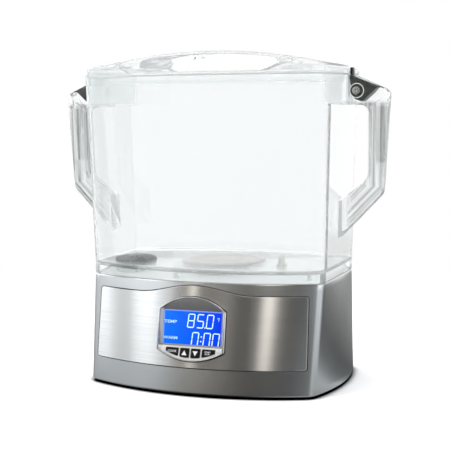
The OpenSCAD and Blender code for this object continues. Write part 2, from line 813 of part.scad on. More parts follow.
plug_z0 = dock_z0 + 0.8;
module dock_plug() {
    color(black) difference() {
        union() {
            translate([0, 0, plug_z0]) cylinder(r = dock_r, h = plate_z0 - plug_z0);
            translate([0, 0, cover_z1]) cylinder(r = dock_r + 3, h = 1.8);
        }
        ring_of(3, contact_ring) translate([0, 0, plug_z0 - 1]) cylinder(r = contact_r + 0.5, h = 8);
    }
}

cover_t = 1.6;
cover_z0 = tank_z0 + 0.8;
cover_head_t = 0.5;
cover_z1 = cover_z0 + cover_t;
boss_side = foot_hw - 19.4;     // places of the cover's five screws
boss_back = foot_hd + 10.1;
cover_bosses = [[boss_side, boss_y - 6], [boss_side, 6 - boss_y], [-30, boss_back], [-30, -boss_back],
    [-boss_side - 6, boss_y - 6]];
module underside_cover() {
    color([0.25, 0.25, 0.26]) difference() {
        loft([foot_section(cover_z0, tank_wall + 0.4), foot_section(cover_z1, tank_wall + 0.4)]);
        translate([0, 0, cover_z0 - 1]) cylinder(r = dock_r + 0.3, h = 5);
        at_pump() translate([0, 0, cover_z0 - 1]) cylinder(r = cup_r + 0.4, h = 5);
        for (p = cover_bosses) translate([p.x, p.y, cover_z0 - 1]) cylinder(r = screw_r + 0.2, h = 5);
    }
}

module cover_screws() {
    color(steel) for (p = cover_bosses) translate([p.x, p.y, cover_z0 - cover_head_t]) {
        cylinder(r = 2.8, h = cover_head_t);
        cylinder(r = screw_r, h = cover_head_t + cover_t + 5);
    }
}

// ---- pump ---------------------------------------------------------------

cover_r = cup_r - cup_wall - 0.2;
cover_rise = 7;
cover_top = floor_z + cover_rise;
cover_skin = 1.8;

// A domed, slotted cap that plugs into the pump's cup.
module pump_cover() {
    color([0.2, 0.2, 0.22]) at_pump() difference() {
        rotate_extrude() polygon(concat(
            [[cover_r - cover_skin, floor_z - 3], [cover_r, floor_z - 3], [cover_r, floor_z + 0.05],
             [cup_r + 1, floor_z + 0.05], [cup_r + 1, floor_z + 2.4]],
            [for (i = [0:6]) let (a = 15 * i) [cup_r * cos(a), floor_z + 3 + (cover_rise - 3) * sin(a)]],
            [for (i = [6:-1:0]) let (a = 15 * i)
                [(cover_r - cover_skin) * cos(a), floor_z + 1.2 + (cover_rise - 3) * sin(a)]]));
        ring_of(slot_n, cup_r * 0.66) translate([-cup_r * 0.24, -0.9, floor_z - 1])
            cube([cup_r * 0.48, 1.8, 20]);
        for (s = [0:slot_n - 1]) rotate(360 * s / slot_n)
            translate([cup_r - 4, -0.8, floor_z + 0.9]) cube([8, 1.6, 1.6]);
        translate([0, 0, floor_z]) cylinder(r = pin_small + 0.2, h = cover_rise - 1.6);
    }
}

hub_h = 9;
vane_h = 5;
module impeller() {
    z0 = cup_z0 + cup_wall + 0.6;
    color([0.15, 0.32, 0.55]) at_pump() difference() {
        union() {
            translate([0, 0, z0]) cylinder(r = impeller_r, h = 3.2);
            translate([0, 0, z0]) cylinder(r = 4.4, h = hub_h);
            for (i = [0:vane_n - 1]) rotate(360 * i / vane_n) vane(z0 + 3);
        }
        translate([0, 0, z0 - 1]) cylinder(r = pin_small + 0.06, h = hub_h + 2);
    }
}

// A backswept vane: the crescent between two circles.
module vane(z) {
    bend = impeller_r * 0.62;
    translate([0, 0, z]) linear_extrude(height = vane_h) intersection() {
        circle(r = impeller_r - 0.1);
        difference() {
            translate([impeller_r * 0.5, bend * 0.72]) circle(r = bend);
            translate([impeller_r * 0.5, bend * 0.72]) circle(r = bend - 1.5);
            translate([-50, bend * 0.72]) square([100, 100]);
        }
    }
}

// ---- handles and latches ------------------------------------------------

pivot_z = rim_z - pivot_drop;
pocket_d = handle_d - 2 * handle_wall;
latch_d = pocket_d - 2 * latch_clear;
handle_root = rim_w / 2 - 17.5; // inside the tank's wall, which trims it off
strut_h = 32.6;         // height of the handle's top strut at the wall
nose_z = rim_z - 17.6;  // where the slope of the top meets the outer edge
heel_z = rim_z - 129;   // where the outer edge turns in to the tank
toe_z = rim_z - 181;    // where the lower strut meets the tank
bar_lean = 6.9;         // how far the outer edge leans in over its height

module handle_profile() {
    polygon(rounded([[handle_root, toe_z - 8.2, 0], [handle_reach - bar_lean, heel_z, 14],
        [handle_reach + 0.4, nose_z, 7], [pivot_x - 6, rim_z - seat_gap, 5], [handle_root, rim_z - seat_gap, 0]]));
}

module grip_profile() {
    x1 = handle_reach - handle_bar;
    z1 = rim_z - strut_h;
    polygon(rounded([[100, heel_z - 37.5, 0], [x1 - 0.4, heel_z + 16.1, 18], [x1, z1, 9],
        [100, z1, 0]]));
}

// The slot between the handle's cheeks that the latch swings in.
module pocket_profile() {
    polygon(rounded([[pivot_x - hub_r - 1.4, rim_z + 9, 0], [pivot_x - hub_r - 1.4, rim_z - strut_h - 5, 0],
        [pivot_x + 9, rim_z - strut_h - 5, 2], [handle_reach - 8.5, nose_z - 9.5, 3],
        [handle_reach - 2.6, nose_z + 1, 1], [handle_reach + 8, nose_z + 9, 0], [pivot_x, rim_z + 9, 0]]));
}

channel_w = 10;
channel_depth = 13;
module handle(side) {
    color(clear_plastic) scale([side, 1, 1]) difference() {
        upright(handle_d) handle_profile();
        upright(handle_d + 2) grip_profile();
        tank_side();
        upright(pocket_d) pocket_profile();
        translate([handle_reach - channel_depth, -channel_w / 2, heel_z + 34])
            cube([channel_depth + 10, channel_w, rim_z - strut_h - heel_z - 36]);
        translate([pivot_x, handle_d, pivot_z]) rotate([90, 0, 0]) cylinder(r = pin_r, h = handle_d * 2);
    }
}
module handle_left() { mirror([1, 0, 0]) handle(1); }
module handle_right() { handle(1); }

// The tank's straight side as a block that trims the handle to the wall.
module tank_side() {
    x0 = tank_w / 2 + straight;
    x1 = rim_w / 2 - rim_bead + straight;
    zb = rim_z - rim_h;
    upright(handle_d + 4) polygon([[90, step_z], [x0, step_z], [lerp(x0, x1, tank_t(zb - rim_bead)), zb - rim_bead],
        [lerp(x0, x1, tank_t(zb)) + rim_bead, zb], [x1 + rim_bead, rim_z + 1], [90, rim_z + 1]]);
}

hook_d = 9;             // the hook over the lid's lug is narrower than the lever

module latch_profile() {
    polygon(rounded([[pivot_x - 8.4, rim_z - 2, 1.1], [pivot_x - 3.6, rim_z - 3, 1.6],
        [handle_reach - 4.9, nose_z + 1.9, 0.5], [handle_reach - 12.4, nose_z + 2.6, 2],
        [pivot_x + 6, pivot_z - 11.8, 1.6], [pivot_x - 2.5, pivot_z - 9, 3], [pivot_x - 5.4, pivot_z, 2]]));
}

module hook_profile() {
    polygon(rounded([[pivot_x - 8.4, rim_z + 7.8, 1], [pivot_x - 6, rim_z + 7.8, 1],
        [pivot_x - 5.6, rim_z - 4, 0], [pivot_x - 4, pivot_z, 0], [pivot_x - 7.6, rim_z - 6, 0], [pivot_x - 8.4, rim_z - 4, 0]]));
}

module latch(side) {
    color(black) difference() {
        union() {
            upright(latch_d) latch_profile();
            upright(hook_d) hook_profile();
            upright(latch_d) translate([pivot_x, pivot_z]) circle(r = hub_r);
        }
        translate([pivot_x, handle_d, pivot_z]) rotate([90, 0, 0])
            cylinder(r = pin_r + pin_clear, h = handle_d * 2);
    }
}
module latch_left() { mirror([1, 0, 0]) latch(1); }
module latch_right() { latch(1); }

pin_head_r = 4.5;
pin_head_t = 2;
module latch_pin() {
    color(steel) translate([pivot_x, handle_d / 2, pivot_z]) rotate([90, 0, 0]) {
        cylinder(r = pin_r, h = handle_d);
        translate([0, 0, handle_d]) difference() {
            cylinder(r1 = pin_head_r, r2 = pin_head_r - 0.7, h = pin_head_t);
            translate([0, 0, pin_head_t - 0.9]) cylinder(r = 1.7, h = 2, $fn = 6);
        }
        translate([0, 0, -pin_head_t]) cylinder(r = pin_head_r - 0.8, h = pin_head_t);
    }
}
module latch_pin_left() { mirror([1, 0, 0]) latch_pin(); }
module latch_pin_right() { latch_pin(); }

// ---- lid ----------------------------------------------------------------

seal_z0 = rim_z + seat_gap;
plate_z = seal_z0 + seal_t;
lid_top = plate_z + lid_t;
lid_edge = 0.8;
lug_x = pivot_x - 8.8;
lug_d = 18;
skirt_clear = 1.2;
skirt_wall = 2.4;
arch_z = rim_z + arch_h;
arch_end = rim_w / 2 - 6;
arch_drop = 0.00085;    // fall of the arch per square millimetre from the middle
arch_steps = 26;
shoulder_in = 3;
shoulder_wall = 2.6;
shoulder_x = grip_w / 2 - 12;   // where the shoulders start to rise
lug_root = rim_w / 2 - 17.5;

function lid_section(z, inset) = [z, tank_plan(rim_z, inset - rim_bead)];

// Half of the raised shoulder's profile: it climbs from the grip gap, runs
// level and falls to the lid's end.
function shoulder_z(x) = let (u = (x - shoulder_x) / (rim_w / 2 - shoulder_x))
    u < 0.42 ? (1 - cos(180 * u / 0.42)) / 2
    : u < 0.6 ? 1 : 1 - 0.75 * pow((u - 0.6) / 0.4, 1.7);
module shoulder_profile(wall) {
    x1 = rim_w / 2 - shoulder_in - wall;
    z0 = wall > 0 ? plate_z - 1 : plate_z + 1;
    x0 = shoulder_x + wall;
    for (s = [-1, 1]) polygon(concat([[s * x1, z0], [s * x0, z0]],
        [for (i = [0:14]) let (x = lerp(x0, x1, i / 14))
            [s * x, max(lid_top - wall, lid_top - wall * 0.9 + shoulder_h * shoulder_z(x) - 0.1)]]));
}

module shoulders(wall) {
    intersection() {
        upright(300) shoulder_profile(wall);
        loft([lid_section(plate_z - 2, shoulder_in + wall), lid_section(rim_z + 40, shoulder_in + wall)]);
    }
}

// One cross-section of the handle arch at x: a rectangle with round corners.
function arch_top(x) = arch_z - arch_drop * x * x
    - (abs(x) > arch_end - 9 ? 9 - sqrt(max(0, 81 - pow(abs(x) - arch_end + 9, 2))) : 0);
function arch_under(x) = let (g = grip_w / 2, roof = arch_z - arch_t - arch_drop * x * x,
    over = abs(x) - g + 7)
    over <= 0 ? roof : over >= 7 ? lid_top - 0.6
    : lerp(roof, lid_top - 0.6, 1 - sqrt(1 - pow(over / 7, 2)));
function arch_ring(x) =
    let (z1 = arch_top(x), z0 = min(arch_under(x), z1 - 1.5), hw = arch_d / 2 + 5 * pow(x / arch_end, 2),
         r = min(2.2, (z1 - z0) / 2 - 0.2))
    concat(arc([-hw + r, z0 + r], r, 180, 270, 3), arc([hw - r, z0 + r], r, 270, 360, 3),
           arc([hw - r, z1 - r], r, 0, 90, 3), arc([-hw + r, z1 - r], r, 90, 180, 3));
arch_x = concat([for (i = [0:5]) -arch_end + 9 - 9 * cos(18 * i)],
    [for (i = [0:4]) -grip_w / 2 + 7 - 7 * cos(22.5 * i)],
    [for (i = [1:12]) lerp(-grip_w / 2 + 7, grip_w / 2 - 7, i / 13)],
    [for (i = [4:-1:0]) grip_w / 2 - 7 + 7 * cos(22.5 * i)],
    [for (i = [5:-1:0]) arch_end - 9 + 9 * cos(18 * i)]);

module arch() {
    rotate([90, 0, 90]) loft([for (x = arch_x) [x, arch_ring(x)]]);
}

module lid() {
    color(clear_plastic) difference() {
        union() {
            loft([lid_section(plate_z, 0), lid_section(lid_top - lid_edge, 0), lid_section(lid_top, lid_edge)]);
            difference() {
                loft([tank_section(plate_z - skirt_h, tank_wall + skirt_clear), tank_section(plate_z + 1, tank_wall + skirt_clear)]);
                loft([tank_section(plate_z - skirt_h - 1, tank_wall + skirt_clear + skirt_wall),
                      tank_section(plate_z, tank_wall + skirt_clear + skirt_wall)]);
            }
            shoulders(0);
            arch();
            for (x = [-lug_x, lug_root]) translate([x, -lug_d / 2, plate_z])
                cube([lug_x - lug_root, lug_d, lid_t]);
        }
        shoulders(shoulder_wall);
    }
}

module lid_seal() {
    color([0.2, 0.21, 0.22]) difference() {
        loft([lid_section(seal_z0, 1), lid_section(plate_z, 1)]);
        loft([lid_section(seal_z0 - 1, 4.4), lid_section(plate_z + 1, 4.4)]);
    }
}

base_housing();
base_floor();
base_screws();
rubber_feet();
front_panel();
bezel_trim();
display_bezel();
key_plate();
lcd_window();
lcd_module();
keypad_frame();
control_board();
tact_switches();
dock_socket();
drive_motor();
motor_bracket();
power_board();
cord_gland();
motor_shaft();
drive_magnet();
key_cook();
key_up();
key_down();
key_start();
tank();
handle_left();
handle_right();
heater_plate();
heater_gasket();
heating_element();
pump_cover();
impeller_pin();
temperature_probe();
dock_plug();
underside_cover();
cover_screws();
latch_pin_left();
latch_pin_right();
impeller();
lid();
lid_seal();
latch_left();
latch_right();
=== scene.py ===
import math

import bpy
import numpy as np
from mathutils import Matrix, Vector


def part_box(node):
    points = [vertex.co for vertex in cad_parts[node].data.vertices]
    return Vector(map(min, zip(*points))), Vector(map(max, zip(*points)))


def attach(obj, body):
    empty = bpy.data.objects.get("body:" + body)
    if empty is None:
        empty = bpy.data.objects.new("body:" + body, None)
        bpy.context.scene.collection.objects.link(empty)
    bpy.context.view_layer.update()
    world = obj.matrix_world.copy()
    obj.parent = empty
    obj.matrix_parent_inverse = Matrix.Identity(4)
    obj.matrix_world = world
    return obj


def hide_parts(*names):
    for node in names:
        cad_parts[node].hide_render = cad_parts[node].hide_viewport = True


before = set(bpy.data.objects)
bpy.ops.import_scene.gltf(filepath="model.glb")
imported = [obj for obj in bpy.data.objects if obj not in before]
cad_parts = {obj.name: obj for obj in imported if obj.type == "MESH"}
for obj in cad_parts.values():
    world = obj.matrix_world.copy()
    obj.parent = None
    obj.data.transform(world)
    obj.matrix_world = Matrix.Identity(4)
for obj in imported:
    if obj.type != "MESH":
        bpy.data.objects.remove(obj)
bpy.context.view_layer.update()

MM = 0.001

for name in ("Cube", "Light", "Camera"):
    if name in bpy.data.objects:
        bpy.data.objects.remove(bpy.data.objects[name])
scene = bpy.context.scene

# ---- sizes in millimetres, as in the part's source but for PANEL_R ---------

base_low, base_high = (np.array(c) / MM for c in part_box("base_housing"))
tank_low, tank_high = (np.array(c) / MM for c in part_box("tank"))
lid_high = np.array(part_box("lid")[1]) / MM
seal_high = np.array(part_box("lid_seal")[1]) / MM
LATCH_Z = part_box("latch_right")[0][2]  # in metres

BULGE = 29.9
BASE_W, BASE_TOP_W, BASE_D, BASE_TOP_D = 262.0, 274.4, 162.4, 120.0
SIDE_BOW, TOP_SIDE_BOW, STRAIGHT = 14.7, 0.5, 0.01
BASE_Z0, BASE_Z1 = base_low[2], base_high[2]
BASE_H = BASE_Z1 - BASE_Z0
BASE_R, BASE_WALL = 11.5, 3.0
WELL_RIM, DECK_Z = 2.6, BASE_Z1 - 3.0
LEAN = math.atan((BASE_D - BASE_TOP_D) / 2 / BASE_H)

PANEL_W, PANEL_Z0, PANEL_Z1, PANEL_R, PANEL_TAPER = 248.0, 30.4, 108.0, 2.8, 1.1
PANEL_IN, PANEL_OUT = 0.8, 0.4
WAVE_H, WAVE_W = 9.8, 137.0

DISPLAY_Z = 69.8
BEZEL_W, BEZEL_SIDE, BEZEL_RISE, BEZEL_DROP = 77.6, 44.0, 14.9, 11.3
WINDOW_W, WINDOW_H, WINDOW_Y = 67.8, 37.0, 3.4
DISH_Z, WINDOW_FRONT, BEZEL_BACK = -1.0, -1.2, -2.6
BEZEL_PROUD, TRIM_W, KEY_LIFT = 1.8, 1.6, 1.3
KEY_TOP, KEY_H = WINDOW_Y - WINDOW_H / 2 - 1.9 - 2.3, 9.6
KEY_X0, KEY_X1 = 6.4, 21.25

RIM_Z = tank_high[2]
TANK_Z0 = tank_low[2]
TANK_W, TANK_D, TANK_BULGE, TANK_R, TANK_WALL = 276.0, 117.4, 29.5, 13.0, 3.6
RIM_W, RIM_D = 292.0, 126.4
FOOT_IN = WELL_RIM + 0.5
FOOT_HW, FOOT_HD = BASE_TOP_W / 2 - FOOT_IN, BASE_TOP_D / 2 - FOOT_IN
COLLAR_Z = BASE_Z1 + (TANK_Z0 - DECK_Z)
FLOOR_Z, FLOOR_T = TANK_Z0 + 14.8, 3.5
STEP_Z = FLOOR_Z - 0.6
RIM_H, RIM_BEAD = 7.0, 1.6
PUMP = (-98.0, -28.0)

PLATE_Z, LID_T = seal_high[2], 3.0
LID_TOP = PLATE_Z + LID_T
ARCH_Z, ARCH_T, ARCH_D, GRIP_W = lid_high[2], 3.4, 84.0, 166.0
ARCH_END, ARCH_DROP = RIM_W / 2 - 6, 0.00085
LUG_X, LUG_D = lid_high[0], 18.0
PIVOT = (159.5, RIM_Z - 17.4)
HANDLE_D, HANDLE_WALL, HUB_R, PIN_R = 23.0, 2.7, 8.2, 2.2
HANDLE_REACH, HANDLE_BAR, BAR_LEAN, STRUT_H = 193.4, 20.8, 6.9, 32.6
NOSE_Z, HEEL_Z, TOE_Z, TOE_DROP = RIM_Z - 17.6, RIM_Z - 129, RIM_Z - 181, 8.2
HANDLE_ROOT = RIM_W / 2 - 17.5
N_ARC, N_CORNER, N_SIDE = 40, 10, 12  # steps along a plan's front, corner and half side

# ---- meshes ----------------------------------------------------------------


def lerp(a, b, t):
    return a + (b - a) * t


def add_object(name, mesh):
    ob = bpy.data.objects.new(name, mesh)
    scene.collection.objects.link(ob)
    return ob


def mesh_object(name, verts, faces):
    """An object from points in millimetres."""
    mesh = bpy.data.meshes.new(name)
    mesh.from_pydata([tuple(float(c) * MM for c in v) for v in verts], [], faces)
    mesh.update()
    return add_object(name, mesh)


def arc_points(cx, cy, r, a0, a1, n):
    a = np.radians(np.linspace(a0, a1, n + 1))
    return np.column_stack((cx + r * np.cos(a), cy + r * np.sin(a)))


def meet(c0, r0, c1, r1):
    """Where two circles meet, on the left of the way from the first to the second."""
    d = np.linalg.norm(c1 - c0)
    u = (c1 - c0) / d
    t = (r0 * r0 - r1 * r1 + d * d) / (2 * d)
    return c0 + t * u + math.sqrt(r0 * r0 - t * t) * np.array((-u[1], u[0]))


def barrel(hw, hd, b, r, inset=0.0, s=STRAIGHT):
    """A plan with bowed front, back and sides and round corners."""
    front, side = (hw * hw + b * b) / (2 * b), (hd * hd + s * s) / (2 * s)
    cf, cs = np.array((0, front - hd - b)), np.array((hw + s - side, 0))
    c = meet(cf, front - r, cs, side - r)
    phi = math.degrees(math.atan2(c[0], cf[1] - c[1]))
    psi = math.degrees(math.atan2(-c[1], c[0] - cs[0]))
    q = np.vstack((
        arc_points(*cf, front - inset, 270, 270 + phi, N_ARC),
        arc_points(*c, r - inset, 270 + phi, 360 - psi, N_CORNER)[1:],
        arc_points(*cs, side - inset, 360 - psi, 360, N_SIDE)[1:]))
    half = np.vstack((q[:0:-1] * (-1, 1), q[:-1]))
    return np.vstack((half, -half))


def tube_faces(n, m):
    """Faces of a closed solid through m outlines of n points."""
    faces = [tuple(reversed(range(n)))]
    for k in range(m - 1):
        faces += [(k * n + i, k * n + (i + 1) % n, (k + 1) * n + (i + 1) % n, (k + 1) * n + i)
                  for i in range(n)]
    return faces + [tuple(range((m - 1) * n, m * n))]


def prism_faces(n):
    """Faces of a prism along Y, for an outline in X and Z that runs to the left."""
    faces = [tuple(range(n)), tuple(range(2 * n - 1, n - 1, -1))]
    return faces + [(i, n + i, n + (i + 1) % n, (i + 1) % n) for i in range(n)]


def stack(sections):
    """Points and faces of a closed solid through outlines [(z, points)], with as many points each."""
    verts = [(x, y, z) for z, pts in sections for x, y in pts]
    return verts, tube_faces(len(sections[0][1]), len(sections))


def loft(name, sections):
    return mesh_object(name, *stack(sections))


def cylinder(name, x, y, z0, z1, r, n=48, r1=None):
    a = np.linspace(0, 2 * math.pi, n, endpoint=False)
    ring = np.column_stack((np.cos(a), np.sin(a)))
    centre = np.array((x, y))
    return loft(name, [(z0, centre + r * ring), (z1, centre + (r if r1 is None else r1) * ring)])


def box(name, x0, x1, y0, y1, z0, z1):
    pts = np.array(((x0, y0), (x1, y0), (x1, y1), (x0, y1)))
    return loft(name, [(z0, pts), (z1, pts)])


def evaluated_mesh(ob):
    """A new mesh from an object with its modifiers."""
    graph = bpy.context.evaluated_depsgraph_get()
    return bpy.data.meshes.new_from_object(ob.evaluated_get(graph))


def apply_modifiers(ob):
    mesh = evaluated_mesh(ob)
    ob.modifiers.clear()
    ob.data = mesh
    mesh.name = ob.name


def combine(target, others, operation="DIFFERENCE"):
    """Joins others to target or cuts them out of it, in the mesh itself."""
    for other in others:
        m = target.modifiers.new("combine", "BOOLEAN")
        m.operation, m.solver, m.object = operation, "MANIFOLD", other
    apply_modifiers(target)
    for other in others:
        bpy.data.objects.remove(other)
    return target


def upright(name, outline, depth, side=1):
    """A prism along Y, centred on the middle plane, from an outline in X and Z."""
    pts = np.array(outline) * (side, 1)
    if (pts[:, 0] * np.roll(pts[:, 1], -1) - pts[:, 1] * np.roll(pts[:, 0], -1)).sum() < 0:
        pts = pts[::-1]
    verts = [(x, y, z) for y in (-depth / 2, depth / 2) for x, z in pts]
    return mesh_object(name, verts, prism_faces(len(pts)))


def rounded(corners, n=8):
    """A polygon whose corners (x, y, radius) are rounded by arcs."""
    points = []
    for i, (x, y, r) in enumerate(corners):
        p = np.array((x, y))
        if r < 0.01:
            points.append(p)
            continue
        u, v = (np.array(corners[k % len(corners)][:2]) - p for k in (i - 1, i + 1))
        u, v = u / np.linalg.norm(u), v / np.linalg.norm(v)
        half = math.acos(u @ v) / 2
        c = p + (u + v) / np.linalg.norm(u + v) * r / math.sin(half)
        t0, t1 = (p + w * r / math.tan(half) - c for w in (u, v))
        a0, a1 = (math.degrees(math.atan2(t[1], t[0])) for t in (t0, t1))
        points += list(arc_points(*c, r, a0, a0 + (a1 - a0 + 180) % 360 - 180, n))
    return np.array(points)


def soften(ob, width, segments, angle):
    """Rounds edges sharper than an angle, by a modifier."""
    edge = ob.modifiers.new("edge", "BEVEL")
    edge.width, edge.segments = width * MM, segments
    edge.limit_method, edge.angle_limit = "ANGLE", math.radians(angle)
    edge.use_clamp_overlap = True


def smooth(ob, angle=30):
    ob.data.shade_smooth()
    ob.data.set_sharp_from_angle(angle=math.radians(angle))
    return ob


def finish_piece(ob, material, body, slot, *nodes):
    ob.data.materials.clear()
    ob.data.materials.append(material)
    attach(ob, body)
    if nodes:
        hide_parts(*nodes)
    return ob


# ---- materials -------------------------------------------------------------


def new_material(name):
    mat = bpy.data.materials.new(name)
    mat.use_nodes = True
    tree = mat.node_tree
    tree.nodes.clear()
    out = tree.nodes.new("ShaderNodeOutputMaterial")
    return mat, tree, out


def feed(tree, socket, value):
    """Links a socket to another one, or sets its value."""
    if isinstance(value, bpy.types.NodeSocket):
        tree.links.new(value, socket)
    else:
        socket.default_value = value


def add(tree, kind, settings=None, **inputs):
    """A shader node: settings are its properties, and an input is a value or a socket."""
    made = tree.nodes.new("ShaderNode" + kind)
    for key, value in (settings or {}).items():
        setattr(made, key, value)
    for key, value in inputs.items():
        feed(tree, made.inputs[key.replace("_", " ")], value)
    return made


def principled(tree, out, color, **values):
    shader = add(tree, "BsdfPrincipled", Base_Color=(*color, 1), **values)
    tree.links.new(shader.outputs[0], out.inputs[0])
    return shader


def math_node(tree, operation, *values):
    made = add(tree, "Math", {"operation": operation})
    for socket, value in zip(made.inputs, values):
        feed(tree, socket, value)
    return made.outputs[0]


def ranged(tree, value, x0, x1, y0, y1, kind="SMOOTHSTEP"):
    """Maps a value from the range x0 to x1 to the range y0 to y1."""
    return add(tree, "MapRange", {"interpolation_type": kind}, Value=value,
               From_Min=x0, From_Max=x1, To_Min=y0, To_Max=y1).outputs[0]


def mixed(tree, factor, a, b):
    made = tree.nodes.new("ShaderNodeMixShader")
    for socket, value in zip(made.inputs, (factor, a, b)):
        tree.links.new(value, socket)
    return made.outputs[0]


def mixed_colors(tree, factor, a, b):
    return add(tree, "Mix", {"data_type": "RGBA"}, Factor=factor, A=a, B=b).outputs["Result"]


def tint(tree, value, dark, light):
    return mixed_colors(tree, value, (*dark, 1), (*light, 1))


def object_place(tree):
    return add(tree, "TexCoord").outputs["Object"]


def grain(tree, scale, stretch=(1, 1, 1), detail=3.0, place=None):
    """Noise over the object's own coordinates, stretched along its axes."""
    mapping = add(tree, "Mapping", Scale=stretch, Vector=place or object_place(tree))
    return add(tree, "TexNoise", Scale=scale, Detail=detail, Vector=mapping.outputs[0]).outputs["Fac"]


def spread(tree, value, low, high):
    """Maps noise to the range from low to high."""
    return ranged(tree, value, 0.25, 0.75, low, high, "LINEAR")


def bump(tree, value, shader, strength, distance):
    made = add(tree, "Bump", Strength=strength, Distance=distance, Height=value)
    tree.links.new(made.outputs[0], shader.inputs["Normal"])


def mottle(tree, value, shader, color, vary):
    """Lets the base colour vary by a share with noise."""
    low = tuple(c * (1 - vary) for c in color)
    high = tuple(min(1, c * (1 + vary)) for c in color)
    tree.links.new(tint(tree, spread(tree, value, 0, 1), low, high), shader.inputs["Base Color"])


def moulded(name, color, rough, scale=1400, vary=0.12, depth=0.00003, **values):
    """Moulded or painted plastic, rubber or ceramic: a fine grain in colour, gloss and surface."""
    mat, tree, out = new_material(name)
    shader = principled(tree, out, color, **values)
    fine, broad = grain(tree, scale), grain(tree, 26, detail=2.0)
    mottle(tree, fine, shader, color, vary)
    tree.links.new(spread(tree, broad, rough * 0.85, rough * 1.15), shader.inputs["Roughness"])
    bump(tree, fine, shader, 0.25, depth)
    return mat


def brushed(name, color, rough, stretch, across, vary=0.1, anisotropy=0.0):
    """Metal with fine lines in colour, gloss and surface. Anisotropy spreads its highlights up and down."""
    mat, tree, out = new_material(name)
    shader = principled(tree, out, color, Metallic=1.0, Anisotropic=anisotropy)
    lines = grain(tree, across, stretch=stretch, detail=4.0)
    mottle(tree, lines, shader, color, vary)
    tree.links.new(spread(tree, lines, rough * 0.88, rough * 1.12), shader.inputs["Roughness"])
    bump(tree, lines, shader, 0.07, 0.00001)
    if anisotropy:
        tree.links.new(add(tree, "CombineXYZ", Z=1.0).outputs[0], shader.inputs["Tangent"])
    return mat


# Where the clear plastic changes, in metres: out from the middle, from the
# tank's wall to the handle loops, and up, at the latches.
WALL_SIDE, LOOP_SIDE = (0.136, 0.142), (0.1475, 0.1515)
LATCH_FADE = (LATCH_Z - 0.004, LATCH_Z + 0.002)
UNBENT = 0.12      # share of the light that passes walls and lid unbent
DEEPEST = 6.5      # beyond this many bounces light goes straight on
BEND_Z = HEEL_Z + 8  # below it the streaks follow the strut in to the tank
STREAK_SCALE, STREAK_STRETCH, STREAK_RANGE = 260, (1, 1, 0.02), (0.36, 0.64)
STREAK_DARK, STREAK_PALE = (0.12, 0.13, 0.12), (0.93, 0.95, 0.95)


def clear_plastic(name, color, rough, ior, haze, loop_haze, wall_haze):
    """Clear moulded plastic: faint waves, haze, streaks down the loops. Shadow rays pass."""
    mat, tree, out = new_material(name)
    shader = principled(tree, out, color, IOR=ior, Transmission_Weight=1.0)
    tree.links.new(spread(tree, grain(tree, 60), rough * 0.6, rough * 1.4), shader.inputs["Roughness"])
    bump(tree, grain(tree, 9, stretch=(1, 1, 0.35), detail=2.0), shader, 0.05, 0.0006)
    x, y, z = add(tree, "SeparateXYZ", Vector=object_place(tree)).outputs
    side = math_node(tree, "ABSOLUTE", x)
    loop, wall = (ranged(tree, side, *ends, 0, 1) for ends in (LOOP_SIDE, WALL_SIDE))
    high = ranged(tree, z, *LATCH_FADE, 0, 1)
    frosted = math_node(tree, "MULTIPLY", math_node(tree, "SUBTRACT", wall, loop), high)
    pocket = math_node(tree, "MULTIPLY", loop, high)
    streaked = math_node(tree, "SUBTRACT", loop, pocket)
    cover = math_node(tree, "MULTIPLY_ADD", pocket, -haze, haze)
    cover = math_node(tree, "MULTIPLY_ADD", streaked, loop_haze, cover)
    cover = math_node(tree, "MULTIPLY_ADD", frosted, wall_haze, cover)
    run = (HANDLE_REACH - BAR_LEAN - HANDLE_ROOT) / (HEEL_Z - TOE_Z + TOE_DROP)
    under = math_node(tree, "MAXIMUM", math_node(tree, "SUBTRACT", BEND_Z * MM, z), 0)
    bent = add(tree, "CombineXYZ", X=math_node(tree, "MULTIPLY_ADD", under, run, side), Y=y, Z=z)
    streaks = grain(tree, STREAK_SCALE, STREAK_STRETCH, 2.0, bent.outputs[0])
    streaks = math_node(tree, "MAXIMUM", ranged(tree, streaks, *STREAK_RANGE, 0, 1),
                        math_node(tree, "SUBTRACT", 1, streaked))
    cloud = add(tree, "BsdfDiffuse", Color=tint(tree, streaks, STREAK_DARK, STREAK_PALE))
    see = add(tree, "BsdfTransparent", Color=(*color, 1)).outputs[0]
    path = add(tree, "LightPath").outputs
    straight = math_node(tree, "MAXIMUM", path["Is Shadow Ray"],
                         math_node(tree, "GREATER_THAN", path["Ray Depth"], DEEPEST))
    unbent = math_node(tree, "MULTIPLY", math_node(tree, "SUBTRACT", 1, loop), UNBENT)
    hazy = mixed(tree, cover, mixed(tree, unbent, shader.outputs[0], see), cloud.outputs[0])
    tree.links.new(mixed(tree, straight, hazy, see), out.inputs[0])
    return mat


SILVER = moulded("silver_paint", (0.62, 0.635, 0.635), 0.22, scale=2600, vary=0.05, Metallic=1.0)
DARK = moulded("black_plastic", (0.022, 0.024, 0.026), 0.42)
LATCH = moulded("latch_black", (0.005, 0.007, 0.006), 0.36, IOR=1.35)
KEY_BLACK = moulded("key_black", (0.006, 0.006, 0.008), 0.3, IOR=1.3)
RUBBER = moulded("rubber", (0.02, 0.02, 0.021), 0.75, scale=900, depth=0.00006)
BEZEL = moulded("bezel_silver", (0.44, 0.445, 0.46), 0.3, scale=2600, vary=0.05, Metallic=0.85)
KEY_PLATE = moulded("key_plate_silver", (0.86, 0.85, 0.83), 0.3, scale=2600, vary=0.05, Metallic=0.45)
BOARD = moulded("board_green", (0.02, 0.12, 0.05), 0.45, scale=500, vary=0.3)
WHITE_LABEL = moulded("white_print", (0.82, 0.82, 0.82), 0.5)
PALE = moulded("pale_plastic", (0.78, 0.79, 0.79), 0.45)
GASKET = moulded("silicone", (0.55, 0.55, 0.54), 0.6)
SEAL = moulded("seal_grey", (0.62, 0.63, 0.63), 0.6)
